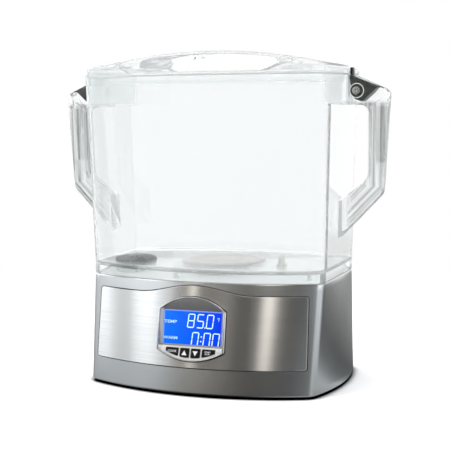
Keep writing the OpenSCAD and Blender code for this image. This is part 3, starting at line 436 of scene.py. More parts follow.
BLUE_PLASTIC = moulded("impeller_blue", (0.03, 0.10, 0.28), 0.4)
PANEL = brushed("brushed_panel", (0.84, 0.835, 0.825), 0.245, (0.006, 0.006, 1.0), 1500, 0.07, anisotropy=1.0)
STEEL = brushed("turned_steel", (0.70, 0.69, 0.67), 0.28, (1, 1, 1), 900)
CHROME = brushed("trim_metal", (0.78, 0.78, 0.78), 0.18, (1, 1, 1), 500, vary=0.04)
CASE = brushed("motor_case", (0.42, 0.43, 0.45), 0.35, (1, 1, 0.05), 1500)
MAGNET = brushed("magnet", (0.22, 0.22, 0.24), 0.4, (1, 1, 1), 900)
ELEMENT = brushed("element", (0.34, 0.31, 0.28), 0.45, (1, 1, 1), 1200, vary=0.25)
CLEAR = clear_plastic("clear_plastic", (0.98, 0.99, 0.99), 0.015, 1.38, 0.045, 0.34, 0.7)

NODE_LOOKS = (
    (DARK, "base_floor lcd_module keypad_frame tact_switches dock_socket pump_cover dock_plug"),
    (STEEL, "base_screws motor_bracket motor_shaft heater_plate impeller_pin temperature_probe"),
    (STEEL, "cover_screws latch_pin_left latch_pin_right"),
    (RUBBER, "rubber_feet cord_gland"), (BOARD, "control_board power_board"),
    (CHROME, "bezel_trim"), (BEZEL, "display_bezel"), (KEY_PLATE, "key_plate"),
    (KEY_BLACK, "key_cook key_up key_down key_start"), (LATCH, "latch_left latch_right"),
    (CASE, "drive_motor"), (MAGNET, "drive_magnet"), (BLUE_PLASTIC, "impeller"),
    (GASKET, "heater_gasket"), (ELEMENT, "heating_element"), (PALE, "underside_cover"),
    (SEAL, "lid_seal"),
)
EDGE_MM = {name: width for width, names in (
    (0.12, "display_bezel key_plate"), (0.15, "temperature_probe"), (0.2, "pump_cover heater_plate"),
    (0.3, "latch_pin_left latch_pin_right rubber_feet"), (0.35, "key_cook key_up key_down key_start"),
    (0.5, "cord_gland"), (0.55, "bezel_trim"), (0.6, "latch_left latch_right"),
) for name in names.split()}


def angle_shading():
    """Modifier nodes: smooth faces, with edges over 32 degrees left sharp."""
    group = bpy.data.node_groups.new("angle_shading", "GeometryNodeTree")
    group.interface.new_socket("Geometry", in_out="INPUT", socket_type="NodeSocketGeometry")
    group.interface.new_socket("Geometry", in_out="OUTPUT", socket_type="NodeSocketGeometry")
    start, end = group.nodes.new("NodeGroupInput"), group.nodes.new("NodeGroupOutput")
    faces = group.nodes.new("GeometryNodeSetShadeSmooth")
    edges = group.nodes.new("GeometryNodeSetShadeSmooth")
    edges.domain = "EDGE"
    angle = group.nodes.new("GeometryNodeInputMeshEdgeAngle")
    less = group.nodes.new("FunctionNodeCompare")
    less.data_type, less.operation = "FLOAT", "LESS_THAN"
    less.inputs[1].default_value = math.radians(32)
    link = group.links.new
    link(start.outputs[0], faces.inputs["Geometry"])
    link(faces.outputs[0], edges.inputs["Geometry"])
    link(angle.outputs[0], less.inputs[0])
    link(less.outputs[0], edges.inputs["Shade Smooth"])
    link(edges.outputs[0], end.inputs[0])
    return group


SHADING = angle_shading()
for look, name in ((look, name) for look, names in NODE_LOOKS for name in names.split()):
    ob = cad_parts[name]
    for s in ob.material_slots:
        s.material = look
    if name in EDGE_MM:
        weld = ob.modifiers.new("weld", "WELD")
        weld.merge_threshold = 0.00001
        soften(ob, EDGE_MM[name], 3, 35)
        ob.modifiers.new("shade", "NODES").node_group = SHADING

# ---- base ------------------------------------------------------------------


def base_bow(z):
    """The front's half width, half depth and radius at a height."""
    t = (z - BASE_Z0) / BASE_H
    hw, hd = lerp(BASE_W, BASE_TOP_W, t) / 2, lerp(BASE_D, BASE_TOP_D, t) / 2
    return hw, hd, (hw * hw + BULGE ** 2) / (2 * BULGE)


def base_plan(z, inset):
    hw, hd, _ = base_bow(z)
    return barrel(hw, hd, BULGE, BASE_R, inset, lerp(SIDE_BOW, TOP_SIDE_BOW, (z - BASE_Z0) / BASE_H))


def base_section(z, inset):
    return z, base_plan(z, inset)


def front_y(x, z, out):
    """The bowed front's y at x and z, moved outwards by out. Also takes arrays."""
    hw, hd, big = base_bow(z)
    return big - hd - BULGE - np.sqrt((big + out) ** 2 - x * x)


def front_normals(points):
    """Normals of the bowed front at points in millimetres."""
    x, y, z = points.T
    hw, hd, big = base_bow(z)
    n = np.column_stack((x, y - (big - hd - BULGE)))
    n /= np.linalg.norm(n, axis=1)[:, None]
    growth = hw / BULGE * (BASE_TOP_W - BASE_W) / 2 / BASE_H
    n = np.column_stack((n, -n[:, 1] * (growth + math.tan(LEAN)) - growth))
    return n / np.linalg.norm(n, axis=1)[:, None]


def read(items, key, width=1, kind=float):
    """One property of a mesh's items as an array."""
    values = np.empty(len(items) * width, dtype=kind)
    items.foreach_get(key, values)
    return values.reshape(-1, width) if width > 1 else values


def true_front(ob, sides=(1,)):
    """Gives the bowed front, and with sides (1, -1) the back, the exact surface's normals."""
    mesh = ob.data
    normals, faces = read(mesh.corner_normals, "vector", 3), read(mesh.polygons, "normal", 3)
    counts = read(mesh.polygons, "loop_total", kind=np.int32)
    face_of = np.repeat(np.arange(len(counts)), counts)
    at = (read(mesh.vertices, "co", 3) / MM)[read(mesh.loops, "vertex_index", kind=np.int32)]
    front_end = 2 * N_ARC + N_CORNER + N_SIDE  # the plan's point where the front meets a corner
    ends = [base_plan(z, 0)[front_end, 0] for z in (BASE_Z0, BASE_Z1)]
    bow_end = lerp(ends[0], ends[1], (at[:, 2] - BASE_Z0) / BASE_H)
    for side in sides:
        flip = np.array((side, side, 1.0))
        wanted = front_normals(at * flip) * flip
        near = (faces[face_of] * wanted).sum(axis=1) > math.cos(math.radians(4))
        near &= np.abs(at[:, 0]) < bow_end - 0.3
        normals[near] = wanted[near]
    mesh.normals_split_custom_set(normals.tolist())


def wave(x):
    return np.where(np.abs(x) < WAVE_W / 2, WAVE_H * (1 + np.cos(2 * math.pi * x / WAVE_W)) / 2, 0)


def panel_ladder(grow):
    """Columns across the panel's outline, grown all round: lower x and z, upper x and z."""
    hw, r = PANEL_W / 2 + grow, PANEL_R + grow
    a = np.radians(np.linspace(0, 90, 9))
    ends = []
    for w in (hw, hw - PANEL_TAPER):
        inner = np.linspace(-(w - r), w - r, 141)
        ends.append(np.concatenate((-(w - r) - r * np.cos(a[:-1]), inner, (w - r) + r * np.sin(a[1:]))))
    dip = np.concatenate((r - r * np.sin(a[:-1]), np.zeros(141), r - r * np.cos(a[1:])))
    return ends[0], PANEL_Z0 - grow + dip, ends[1], PANEL_Z1 + grow - dip + wave(ends[1])


def panel_solid(name, layers, rows=14):
    """A solid on the bowed front through layers [(out, grow)], from back to front."""
    verts, faces, rings = [], [], []
    for level, (out, grow) in enumerate(layers):
        x0, z0, x1, z1 = panel_ladder(grow)
        m = len(x0)
        edge = ([(i, 0) for i in range(m)] + [(m - 1, k) for k in range(1, rows + 1)]
                + [(i, rows) for i in range(m - 2, -1, -1)] + [(0, k) for k in range(rows - 1, 0, -1)])
        cap = level in (0, len(layers) - 1)
        wanted = [(i, k) for i in range(m) for k in range(rows + 1)] if cap else edge
        index = {}
        for i, k in wanted:
            x, z = lerp(x0[i], x1[i], k / rows), lerp(z0[i], z1[i], k / rows)
            index[i, k] = len(verts)
            verts.append((x, front_y(x, z, out), z))
        rings.append([index[e] for e in edge])
        if cap:
            for i in range(m - 1):
                for k in range(rows):
                    quad = (index[i, k], index[i + 1, k], index[i + 1, k + 1], index[i, k + 1])
                    faces.append(quad if level else quad[::-1])
    n = len(rings[0])
    for a, b in zip(rings, rings[1:]):
        for i in range(n):
            j = (i + 1) % n
            faces.append((a[i], a[j], b[j], b[i]))
    return mesh_object(name, verts, faces)


on_front = Matrix.Translation((0, float(front_y(0.0, DISPLAY_Z, 0)) * MM, DISPLAY_Z * MM)) @ \
    Matrix.Rotation(math.pi / 2 - LEAN, 4, "X")


def bezel_outline(inset, n=40):
    """The display surround: straight sides between an upper and a lower arc."""
    hw, hs = BEZEL_W / 2, BEZEL_SIDE / 2
    rings = []
    for rise in (BEZEL_DROP, BEZEL_RISE):
        r = (hw * hw + rise * rise) / (2 * rise)
        top = hs + rise - r
        half = math.degrees(math.asin((hw - inset) / (r - inset)))
        rings.append(arc_points(0, top, r - inset, 90 + half, 90 - half, n))
    lower, upper = rings
    return np.vstack((lower * (1, -1), upper[::-1]))


def in_display(ob):
    """Moves a piece made in the display's own frame to its place in the mesh."""
    ob.data.transform(on_front)
    return ob


def bezel_cutter(inset):
    pts = bezel_outline(inset)
    return in_display(loft("bezel_cutter", [(-15, pts), (5, pts)]))


EDGE_R, JOINT_W = 1.6, 0.85
# How far the openings in the panel and the housing reach beyond the display's
# frame. In the part's source both are BEZEL_FIT.
PANEL_OPENING, BEZEL_FIT = 0.75, 0.1
steps = [math.radians(a) for a in (0, 18, 36, 54, 72, 90)]
outer = [base_section(BASE_Z0, 1.6), base_section(BASE_Z0 + 0.35, 0.75), base_section(BASE_Z0 + 1.6, 0)]
outer += [base_section(z, 0) for z in np.linspace(BASE_Z0 + 8, BASE_Z1 - EDGE_R - 6, 7)]
outer += [base_section(BASE_Z1 - EDGE_R * (1 - math.sin(a)), EDGE_R * (1 - math.cos(a))) for a in steps]
housing = loft("housing", outer)
deck_under = DECK_Z - BASE_WALL
combine(housing, [
    loft("hollow", [base_section(BASE_Z0 - 1, BASE_WALL), base_section(deck_under, BASE_WALL)]),
    loft("well", [base_section(DECK_Z, WELL_RIM + 0.5), base_section(DECK_Z + 0.5, WELL_RIM),
                  base_section(BASE_Z1 + 1, WELL_RIM)]),
])
SCREW_IN_X, SCREW_IN_Y, SCREW_HOLE_R, POST_R = 11, 13, 1.6, 4.2
MOTOR_POST_AT, MOTOR_POST_R, MOTOR_POST_Z = 25, 3, 102
DOCK_R, GLAND_X, GLAND_Z, GLAND_PAD_R, GLAND_HOLE_R = 18.7, 66.0, 24.0, 11, 7.1
VENT_N, VENT_X, VENT_PITCH, VENT_HW, VENT_H = 11, -40, 6, 1.2, 24
corners = [(sx * (BASE_W / 2 - SCREW_IN_X), sy * (BASE_TOP_D / 2 - SCREW_IN_Y))
           for sx in (-1, 1) for sy in (-1, 1)]
posts = [cylinder("post", x, y, BASE_Z0 + 3, deck_under + 1, POST_R) for x, y in corners]
for a in (math.radians(a) for a in (20, 140, 260)):
    x, y = PUMP[0] + MOTOR_POST_AT * math.cos(a), PUMP[1] + MOTOR_POST_AT * math.sin(a)
    posts.append(cylinder("post", x, y, MOTOR_POST_Z, deck_under + 1, MOTOR_POST_R))


def along_y(ob, x, y, z):
    """Lays a piece made along Z, at the origin, along Y at a place."""
    ob.data.transform(Matrix.Translation((x * MM, y * MM, z * MM)) @ Matrix.Rotation(-math.pi / 2, 4, "X"))
    return ob


gland_pad_y = (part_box("cord_gland")[1].y / MM) - 2.4
posts.append(along_y(cylinder("pad", 0, 0, -12, 0, GLAND_PAD_R, n=64), GLAND_X, gland_pad_y, GLAND_Z))
combine(housing, posts, "UNION")
cutters = [
    panel_solid("recess", [(-PANEL_IN, JOINT_W), (-0.2, JOINT_W), (0.05, JOINT_W + 0.25),
                           (2, JOINT_W + 0.25)]),
    bezel_cutter(-BEZEL_FIT),
    cylinder("dock_hole", 0, 0, deck_under - 1, deck_under + 9, DOCK_R, n=96),
    along_y(cylinder("gland_hole", 0, 0, -30, 1, GLAND_HOLE_R), GLAND_X, gland_pad_y, GLAND_Z),
]
cutters += [cylinder("screw_hole", x, y, BASE_Z0 + 2, BASE_Z0 + 18, SCREW_HOLE_R) for x, y in corners]
for x in (VENT_X + (i - VENT_N // 2) * VENT_PITCH for i in range(VENT_N)):
    cutters.append(box("vent", x - VENT_HW, x + VENT_HW, BASE_TOP_D / 2, BASE_TOP_D / 2 + BASE_D / 2,
                       BASE_H / 2, BASE_H / 2 + VENT_H))
combine(housing, cutters)
smooth(housing, 32)
true_front(housing, (1, -1))
finish_piece(housing, SILVER, "base", "housing", "base_housing")

panel = panel_solid("steel_panel", [
    (-PANEL_IN + 0.02, 0), (PANEL_OUT - 0.28, 0), (PANEL_OUT - 0.08, -0.08), (PANEL_OUT, -0.28)])
combine(panel, [bezel_cutter(-PANEL_OPENING)])
smooth(panel, 50)
true_front(panel)
finish_piece(panel, PANEL, "base", "panel", "front_panel")

# Black rubber strips in the gaps round the panel and round the display's frame: painted shade, standing in
# for the gaps falling into shadow.
shade_strip = panel_solid("panel_shade_strip", [
    (-PANEL_IN + 0.03, JOINT_W - 0.03), (-0.3, JOINT_W - 0.03), (-0.22, JOINT_W - 0.1)])
combine(shade_strip, [panel_solid("inner", [(-PANEL_IN - 1, 0.03), (1, 0.03)])])
finish_piece(smooth(shade_strip, 40), RUBBER, "base", "rubber")

# The strip round the display's frame is painted shade too, dark rubber where the gap falls into shadow.
shade_strip = panel_solid("bezel_shade_strip", [(-PANEL_IN + 0.03, 5), (PANEL_OUT - 0.1, 5)])
around, frame_room = (bezel_cutter(-w) for w in (PANEL_OPENING + 0.05, BEZEL_FIT))
combine(around, [frame_room])
combine(shade_strip, [around], "INTERSECT")
finish_piece(smooth(shade_strip, 40), RUBBER, "base", "rubber")

# ---- display ---------------------------------------------------------------


def screen_material():
    """A lit blue screen: deeper to the right, with light bleeding in at its left and upper edges."""
    mat, tree, out = new_material("screen")
    shader = principled(tree, out, (0.002, 0.015, 0.09), Roughness=0.25, IOR=1.22, Coat_Weight=0.12,
                        Coat_Roughness=0.04, Emission_Strength=1.0)
    split = add(tree, "SeparateXYZ", Vector=object_place(tree)).outputs
    ramp = tree.nodes.new("ShaderNodeValToRGB")
    ramp.color_ramp.elements[0].color = (0.0, 0.165, 0.92, 1)
    ramp.color_ramp.elements[1].color = (0.0, 0.036, 0.80, 1)
    ramp.color_ramp.elements.new(0.45).color = (0.0, 0.11, 0.92, 1)
    half = WINDOW_W / 2 * MM
    tree.links.new(ranged(tree, split["X"], -half, half, 0, 1, "LINEAR"), ramp.inputs[0])
    edges = (("X", -WINDOW_W / 2, 1), ("Y", WINDOW_Y + WINDOW_H / 2, -1))
    bleed = [ranged(tree, split[axis], (edge + side * 0.4) * MM, (edge + side * 1.9) * MM, 0.75, 0)
             for axis, edge, side in edges]
    blue = mixed_colors(tree, math_node(tree, "MAXIMUM", *bleed), ramp.outputs[0], (0.36, 0.48, 1.0, 1))
    tree.links.new(blue, shader.inputs["Emission Color"])
    bump(tree, grain(tree, 3000), shader, 0.05, 0.00001)
    return mat


def lit(name, color, strength):
    """Lettering that glows, a little unevenly."""
    mat, tree, out = new_material(name)
    shader = principled(tree, out, color, Roughness=0.4, Emission_Strength=strength)
    cells, low = spread(tree, grain(tree, 1800), 0, 1), tuple(c * 0.93 for c in color)
    tree.links.new(tint(tree, cells, low, color), shader.inputs["Emission Color"])
    return mat


SCREEN = screen_material()
DIGITS = lit("lit_digits", (0.50, 0.72, 0.95), 0.62)
WORDS = lit("lit_words", (0.40, 0.62, 0.95), 0.5)


def rounded_rect(x0, x1, y0, y1, r, n=6):
    return np.vstack((
        arc_points(x0 + r, y0 + r, r, 180, 270, n), arc_points(x1 - r, y0 + r, r, 270, 360, n),
        arc_points(x1 - r, y1 - r, r, 0, 90, n), arc_points(x0 + r, y1 - r, r, 90, 180, n)))


def window_plan(inset):
    hw, hh = WINDOW_W / 2 - inset, WINDOW_H / 2 - inset
    return rounded_rect(-hw, hw, WINDOW_Y - hh, WINDOW_Y + hh, 1.5 - inset)


screen = smooth(loft("screen", [(BEZEL_BACK, window_plan(0.1)), (WINDOW_FRONT - 0.25, window_plan(0.1)),
                                (WINDOW_FRONT - 0.07, window_plan(0.17)), (WINDOW_FRONT, window_plan(0.35))]))
screen.matrix_world = on_front
finish_piece(screen, SCREEN, "base", "display", "lcd_window")

SLANT = math.tan(math.radians(5.5))
DIGIT_W, DIGIT_H, STROKE = 8.3, 15.4, 1.15
SEGMENTS = {"0": "abcdef", "5": "afgcd", "8": "abcdefg", "n": "abcef"}


def bar(x0, y0, x1, y1):
    """A digit's bar between two points, with pointed ends."""
    p, q = np.array((x0, y0)), np.array((x1, y1))
    u = (q - p) / np.linalg.norm(q - p)
    side = np.array((-u[1], u[0])) * STROKE / 2
    tip = u * STROKE * 0.42
    return [p, p + tip - side, q - tip - side, q, q - tip + side, p + tip + side]


def digit(char, x, y):
    """Bars of a digit whose lower left corner is at x, y."""
    h, w, s, gap = DIGIT_H, DIGIT_W, STROKE / 2, 0.14
    left, right, low, high, mid = s, w - s, s, h - s, h / 2
    lines = {
        "a": (left + gap, high, right - gap, high), "g": (left + gap, mid, right - gap, mid),
        "d": (left + gap, low, right - gap, low), "f": (left, mid + gap, left, high - gap),
        "b": (right, mid + gap, right, high - gap), "e": (left, low + gap, left, mid - gap),
        "c": (right, low + gap, right, mid - gap),
    }
    return [[(x + px + (py - mid) * SLANT, y + py) for px, py in bar(*lines[k])] for k in SEGMENTS[char]]


def plates(name, shapes, z0, z1):
    """Thin flat plates in the display's frame, one for each outline."""
    verts, faces = [], []
    for shape in shapes:
        first = len(verts)
        plate_verts, plate_faces = stack([(z0, shape), (z1, shape)])
        verts += plate_verts
        faces += [tuple(first + i for i in face) for face in plate_faces]
    return in_display(mesh_object(name, verts, faces))


WINDOW_LEFT, WINDOW_TOP = -WINDOW_W / 2, WINDOW_Y + WINDOW_H / 2
upper_y = WINDOW_TOP - 3.4 - DIGIT_H
lower_y = WINDOW_TOP - 23.0 - DIGIT_H
shapes = []
for char, x in (("8", 28.5), ("5", 39.4), ("0", 50.5)):
    shapes += digit(char, WINDOW_LEFT + x, upper_y)
for x in (34.0, 47.6, 58.0):
    shapes += digit("n", WINDOW_LEFT + x, lower_y)
dots = [(49.0, upper_y + 0.8, 0.65), (45.4, lower_y + 10.6, 0.7), (45.0, lower_y + 5.6, 0.7)]
for x, y, r in dots:
    shapes.append([(p[0], p[1]) for p in rounded_rect(
        WINDOW_LEFT + x - r, WINDOW_LEFT + x + r, y - r, y + r, r * 0.5, n=2)])
floor_line = WINDOW_Y - WINDOW_H / 2 + 0.3
shapes = [[(px, max(py, floor_line)) for px, py in s] for s in shapes]
digits = plates("display_digits", shapes, WINDOW_FRONT - 0.02, WINDOW_FRONT + 0.06)
finish_piece(digits, DIGITS, "base", "display")


def words(name, lines, material, body, slot, place, z0=0.0, depth=0.12):
    """Flat lettering: lines of (text, x, y, size, width factor) in the frame of place."""
    pieces = []
    for text, x, y, size, stretch in lines:
        curve = bpy.data.curves.new(name, "FONT")
        curve.body, curve.size, curve.align_x = text, size * MM, "CENTER"
        curve.extrude = depth / 2 * MM
        curve.offset = size * 0.012 * MM
        curve.resolution_u = 3
        temp = add_object(name, curve)
        mesh = evaluated_mesh(temp)
        mesh.transform(Matrix.Translation((x * MM, y * MM, z0 * MM)) @ Matrix.Diagonal((stretch, 1, 1, 1)))
        bpy.data.objects.remove(temp)
        pieces.append(mesh)
    whole = join_meshes(name, pieces)
    whole.data.transform(place)
    return finish_piece(whole, material, body, slot)


def join_meshes(name, meshes):
    verts, faces = [], []
    for mesh in meshes:
        first = len(verts)
        verts += [tuple(v.co / MM) for v in mesh.vertices]
        faces += [tuple(first + i for i in f.vertices) for f in mesh.polygons]
    return mesh_object(name, verts, faces)


words("display_words", [
    ("TEMP", WINDOW_LEFT + 8.4, WINDOW_TOP - 14.6, 4.6, 1.36),
    ("WARM", WINDOW_LEFT + 9.2, WINDOW_TOP - 32.0, 4.4, 1.24),
    ("°F", WINDOW_LEFT + 64.2, WINDOW_TOP - 10.4, 5.6, 0.6),
], WORDS, "base", "display", on_front, z0=WINDOW_FRONT + 0.02)

# Keys carry their marks on the sloping face of the dish.
dish_run = BEZEL_SIDE / 2 + BEZEL_DROP - TRIM_W + WINDOW_Y - WINDOW_H / 2
dish_slope = math.atan((BEZEL_PROUD - DISH_Z) / dish_run)
KEY_Y = KEY_TOP - KEY_H / 2


def key_face(x):
    """The frame of a key's face, at its middle."""
    bottom = WINDOW_Y - WINDOW_H / 2
    z = DISH_Z + KEY_LIFT + (bottom - KEY_Y) * math.tan(dish_slope)
    return on_front @ Matrix.Translation((x * MM, KEY_Y * MM, z * MM)) @ Matrix.Rotation(-dish_slope, 4, "X")


words("key_cook_mark", [("COOK", 0.6, 0.2, 3.3, 1.05)],
      WHITE_LABEL, "key_cook", "key", key_face(-KEY_X1), z0=0.03)
words("key_start_mark", [("START", -0.6, 1.6, 2.3, 1.05), ("STOP", -0.9, -0.7, 2.3, 1.05)],
      WHITE_LABEL, "key_start", "key", key_face(KEY_X1), z0=0.03)
for name, x, up in (("key_up", -KEY_X0, 1), ("key_down", KEY_X0, -1)):
    triangle = [(-3.0, -2.5 * up), (3.0, -2.5 * up), (0, 2.7 * up)][::up]
    mark = loft(name + "_mark", [(-0.03, triangle), (0.09, triangle)])
    mark.data.transform(key_face(x))
    finish_piece(mark, WHITE_LABEL, name, "key")

# ---- tank ------------------------------------------------------------------


def tank_t(z):
    return (z - STEP_Z) / (RIM_Z - STEP_Z)


def tank_plan(z, inset):
    t = tank_t(z)
    hw, hd = lerp(TANK_W / 2, RIM_W / 2 - RIM_BEAD, t), lerp(TANK_D / 2, RIM_D / 2 - RIM_BEAD, t)
    return barrel(hw, hd, TANK_BULGE, TANK_R, inset)


def tank_section(z, inset):
    return z, tank_plan(z, inset)


def foot_section(z, inset):
    return z, barrel(BASE_TOP_W / 2, BASE_TOP_D / 2, BULGE, BASE_R, FOOT_IN + inset)


def upright_heights(z0, z1, inset, n):
    return [tank_section(z, inset) for z in np.linspace(z0, z1, n)]


HANDLE_SUNK, HANDLE_EDGE, CHANNEL_HW, SLOT_GAP = 1.8, 2.2, 5, 1.4
INSIDE_X = 100  # well inside the tank, where cutters may end


def handle(side):
    """A loop handle that reaches into the tank's wall, with the slot that its latch swings in."""
    x0, x1 = TANK_W / 2, RIM_W / 2 - RIM_BEAD
    top, bead_z, pocket = RIM_Z - (TANK_Z0 - DECK_Z), RIM_Z - RIM_H, HANDLE_D - 2 * HANDLE_WALL
    grip_x, grip_z, px = HANDLE_REACH - HANDLE_BAR, RIM_Z - STRUT_H, PIVOT[0]
    made = upright("handle", rounded([
        (HANDLE_ROOT, TOE_Z - TOE_DROP, 0), (HANDLE_REACH - BAR_LEAN, HEEL_Z, 14),
        (HANDLE_REACH + 0.4, NOSE_Z, 7), (px - 6, top, 5), (HANDLE_ROOT, top, 0)]), HANDLE_D, side)
    combine(made, [upright("grip", rounded([
        (INSIDE_X, HEEL_Z - 37.5, 0), (grip_x - 0.4, HEEL_Z + 16.1, 18), (grip_x, grip_z, 9),
        (INSIDE_X, grip_z, 0)]), HANDLE_D + 2, side)])
    combine(made, [upright("inside", [
        (INSIDE_X - 10, STEP_Z), (x0 - HANDLE_SUNK, STEP_Z),
        (lerp(x0, x1, tank_t(bead_z)) - HANDLE_SUNK, bead_z), (x1 - HANDLE_SUNK, RIM_Z + 1),
        (INSIDE_X - 10, RIM_Z + 1)], HANDLE_D + 4, side)])
    soften(made, HANDLE_EDGE, 4, 40)
    apply_modifiers(made)
    low, slot_x = grip_z - 5, px - HUB_R - SLOT_GAP
    channel = box("channel", *sorted((side * (HANDLE_REACH - 13), side * (HANDLE_REACH + 10))),
                  -CHANNEL_HW, CHANNEL_HW, HEEL_Z + 34, grip_z - 2)
    combine(made, [upright("pocket", rounded([
        (slot_x, RIM_Z + 9, 0), (slot_x, low, 0), (px + 9, low, 2),
        (HANDLE_REACH - 8.5, NOSE_Z - 9.5, 3), (HANDLE_REACH - 2.6, NOSE_Z + 1, 1),
        (HANDLE_REACH + 8, NOSE_Z + 9, 0), (px, RIM_Z + 9, 0)]), pocket, side)])
    combine(made, [channel])
    pin_hole = cylinder("pin_hole", 0, 0, -HANDLE_D, HANDLE_D, PIN_R, n=32)
    return combine(made, [along_y(pin_hole, side * px, 0, PIVOT[1])])


tank_shell = loft("tank_shell", [
    foot_section(COLLAR_Z, 0.35 - FOOT_IN), foot_section(COLLAR_Z + 0.35, -FOOT_IN),
    foot_section(STEP_Z - 1.2, -FOOT_IN), foot_section(STEP_Z - 0.6, 0.2 - FOOT_IN),
    tank_section(STEP_Z + 1, 0.1), tank_section(STEP_Z + 1.8, 0),
    *upright_heights(STEP_Z + 12, RIM_Z - RIM_H - RIM_BEAD - 12, 0, 9),
    tank_section(RIM_Z - RIM_H - RIM_BEAD, 0), tank_section(RIM_Z - RIM_H - 0.7, -0.7),
    tank_section(RIM_Z - RIM_H, -1.3), tank_section(RIM_Z - RIM_H + 0.7, -RIM_BEAD),
    tank_section(RIM_Z - 0.8, -RIM_BEAD), tank_section(RIM_Z - 0.25, -RIM_BEAD + 0.2),
    tank_section(RIM_Z, -RIM_BEAD + 0.7),
])
combine(tank_shell, [loft("plug", [foot_section(TANK_Z0, 0.5), foot_section(TANK_Z0 + 0.5, 0),
                                   foot_section(COLLAR_Z + 2, 0)]), handle(-1), handle(1)], "UNION")
cup_z0, fillet, side_y = TANK_Z0 + 2.4, 3.0, BASE_TOP_D / 2 - 19
CUP_R, CUP_WALL, PIN_SEAT_R, HEATER_R, PROBE, PROBE_R = 23, 2.4, 1.5, 44, (78, -24), 3.5
BOSS_R, BOSS_HOLE_R = 3.6, 1.6
bowl = [tank_section(FLOOR_Z + fillet * (1 - math.cos(a)), TANK_WALL + fillet * (1 - math.sin(a)))
        for a in np.radians((0, 22, 45, 67, 90))]
combine(tank_shell, [
    loft("bowl", bowl + upright_heights(FLOOR_Z + 12, RIM_Z - 12, TANK_WALL, 9)
         + [tank_section(RIM_Z - 1, TANK_WALL), tank_section(RIM_Z + 1, TANK_WALL - 1)]),
    loft("under", [foot_section(TANK_Z0 - 1, TANK_WALL), foot_section(FLOOR_Z - FLOOR_T, TANK_WALL)]),
])
screw_places = [(FOOT_HW - 19.4, side_y), (FOOT_HW - 19.4, -side_y), (-30, FOOT_HD + 10.1),
                (-30, -FOOT_HD - 10.1), (-FOOT_HW + 13.4, side_y)]
combine(tank_shell, [cylinder("cup", *PUMP, cup_z0, FLOOR_Z - 1, CUP_R, n=96)]
        + [cylinder("boss", x, y, cup_z0, FLOOR_Z - 1, BOSS_R) for x, y in screw_places], "UNION")
combine(tank_shell, [
    cylinder("cup_room", *PUMP, cup_z0 + CUP_WALL, FLOOR_Z + 20, CUP_R - CUP_WALL, n=96),
    cylinder("pin_seat", *PUMP, cup_z0 + 0.8, cup_z0 + 5, PIN_SEAT_R),
    cylinder("heater_hole", 0, 0, FLOOR_Z - 10, FLOOR_Z + 10, HEATER_R, n=128),
    cylinder("probe_hole", *PROBE, FLOOR_Z - 10, FLOOR_Z + 10, PROBE_R),
] + [cylinder("screw_hole", x, y, TANK_Z0 + 1.4, TANK_Z0 + 8.4, BOSS_HOLE_R) for x, y in screw_places])
smooth(tank_shell, 32)
finish_piece(tank_shell, CLEAR, "tank", "clear", "tank", "handle_left", "handle_right")

# ---- lid -------------------------------------------------------------------


def lid_section(z, inset):
    return z, tank_plan(RIM_Z, inset - RIM_BEAD)


SHOULDER_X, SHOULDER_H, SHOULDER_IN, SHOULDER_WALL = GRIP_W / 2 - 12, 9.0, 3.0, 2.6
RISE_END, FALL_START, FALL = 0.42, 0.6, 0.75  # along a shoulder, and how far its end drops


def shoulder_z(x):
    """A shoulder's height, as a share of SHOULDER_H: a rise, a level and a fall to the rim."""
    u = (x - SHOULDER_X) / (RIM_W / 2 - SHOULDER_X)
    if u < RISE_END:
        return (1 - math.cos(math.pi * u / RISE_END)) / 2
    return 1 if u < FALL_START else 1 - FALL * ((u - FALL_START) / (1 - FALL_START)) ** 1.7


def shoulders(wall):
    """Both raised shoulders, inset by wall, as one piece for each end."""
    x0, x1 = SHOULDER_X + wall, RIM_W / 2 - SHOULDER_IN - wall
    z0 = PLATE_Z - 1 if wall else PLATE_Z + 1
    made = []
    for s in (-1, 1):
        line = [(s * x1, z0), (s * x0, z0)]
        line += [(s * x, max(LID_TOP - wall, LID_TOP - wall * 0.9 + SHOULDER_H * shoulder_z(x) - 0.1))
                 for x in np.linspace(x0, x1, 49)]
        verts = [(x, y, z) for y in (-150, 150) for x, z in line]
        profile = mesh_object("shoulder", verts, [f[::-s] for f in prism_faces(len(line))])
        combine(profile, [loft("limit", [lid_section(PLATE_Z - 2, SHOULDER_IN + wall),
                                         lid_section(RIM_Z + 40, SHOULDER_IN + wall)])], "INTERSECT")
        made.append(profile)
    return made


ARCH_R, BEND_R, ARCH_FLARE = 9, 7, 5  # the arch's ends, its bends to the lid, its wider ends


def arch():
    """The handle arch: rounded cross-sections along X."""
    def top(x):
        over = max(0.0, abs(x) - ARCH_END + ARCH_R)
        return ARCH_Z - ARCH_DROP * x * x - (ARCH_R - math.sqrt(max(0, ARCH_R ** 2 - over * over)))

    def under(x):
        roof, foot = ARCH_Z - ARCH_T - ARCH_DROP * x * x, LID_TOP - 0.6
        over = abs(x) - GRIP_W / 2 + BEND_R
        if over <= 0:
            return roof
        return foot if over >= BEND_R else lerp(roof, foot, 1 - math.sqrt(1 - (over / BEND_R) ** 2))

    ends = [ARCH_R - ARCH_R * math.cos(math.radians(a)) for a in np.linspace(0, 90, 11)]
    bends = [BEND_R - BEND_R * math.cos(math.radians(a)) for a in np.linspace(0, 90, 13)]
    half = [-ARCH_END + e for e in ends]
    half += list(np.linspace(-ARCH_END + ARCH_R + 3, -GRIP_W / 2 - 2, 10))
    half += [-GRIP_W / 2 + b for b in bends] + list(np.linspace(-GRIP_W / 2 + BEND_R + 2, 0, 18))
    xs = half + [-x for x in half[-2::-1]]
    verts = []
    for x in xs:
        z1 = top(x)
        z0 = min(under(x), z1 - 1.5)
        hw = ARCH_D / 2 + ARCH_FLARE * (x / ARCH_END) ** 2
        ring = rounded_rect(-hw, hw, z0, z1, min(2.2, (z1 - z0) / 2 - 0.2))
        verts += [(x, y, z) for y, z in ring]
    return mesh_object("arch", verts, tube_faces(len(ring), len(xs)))


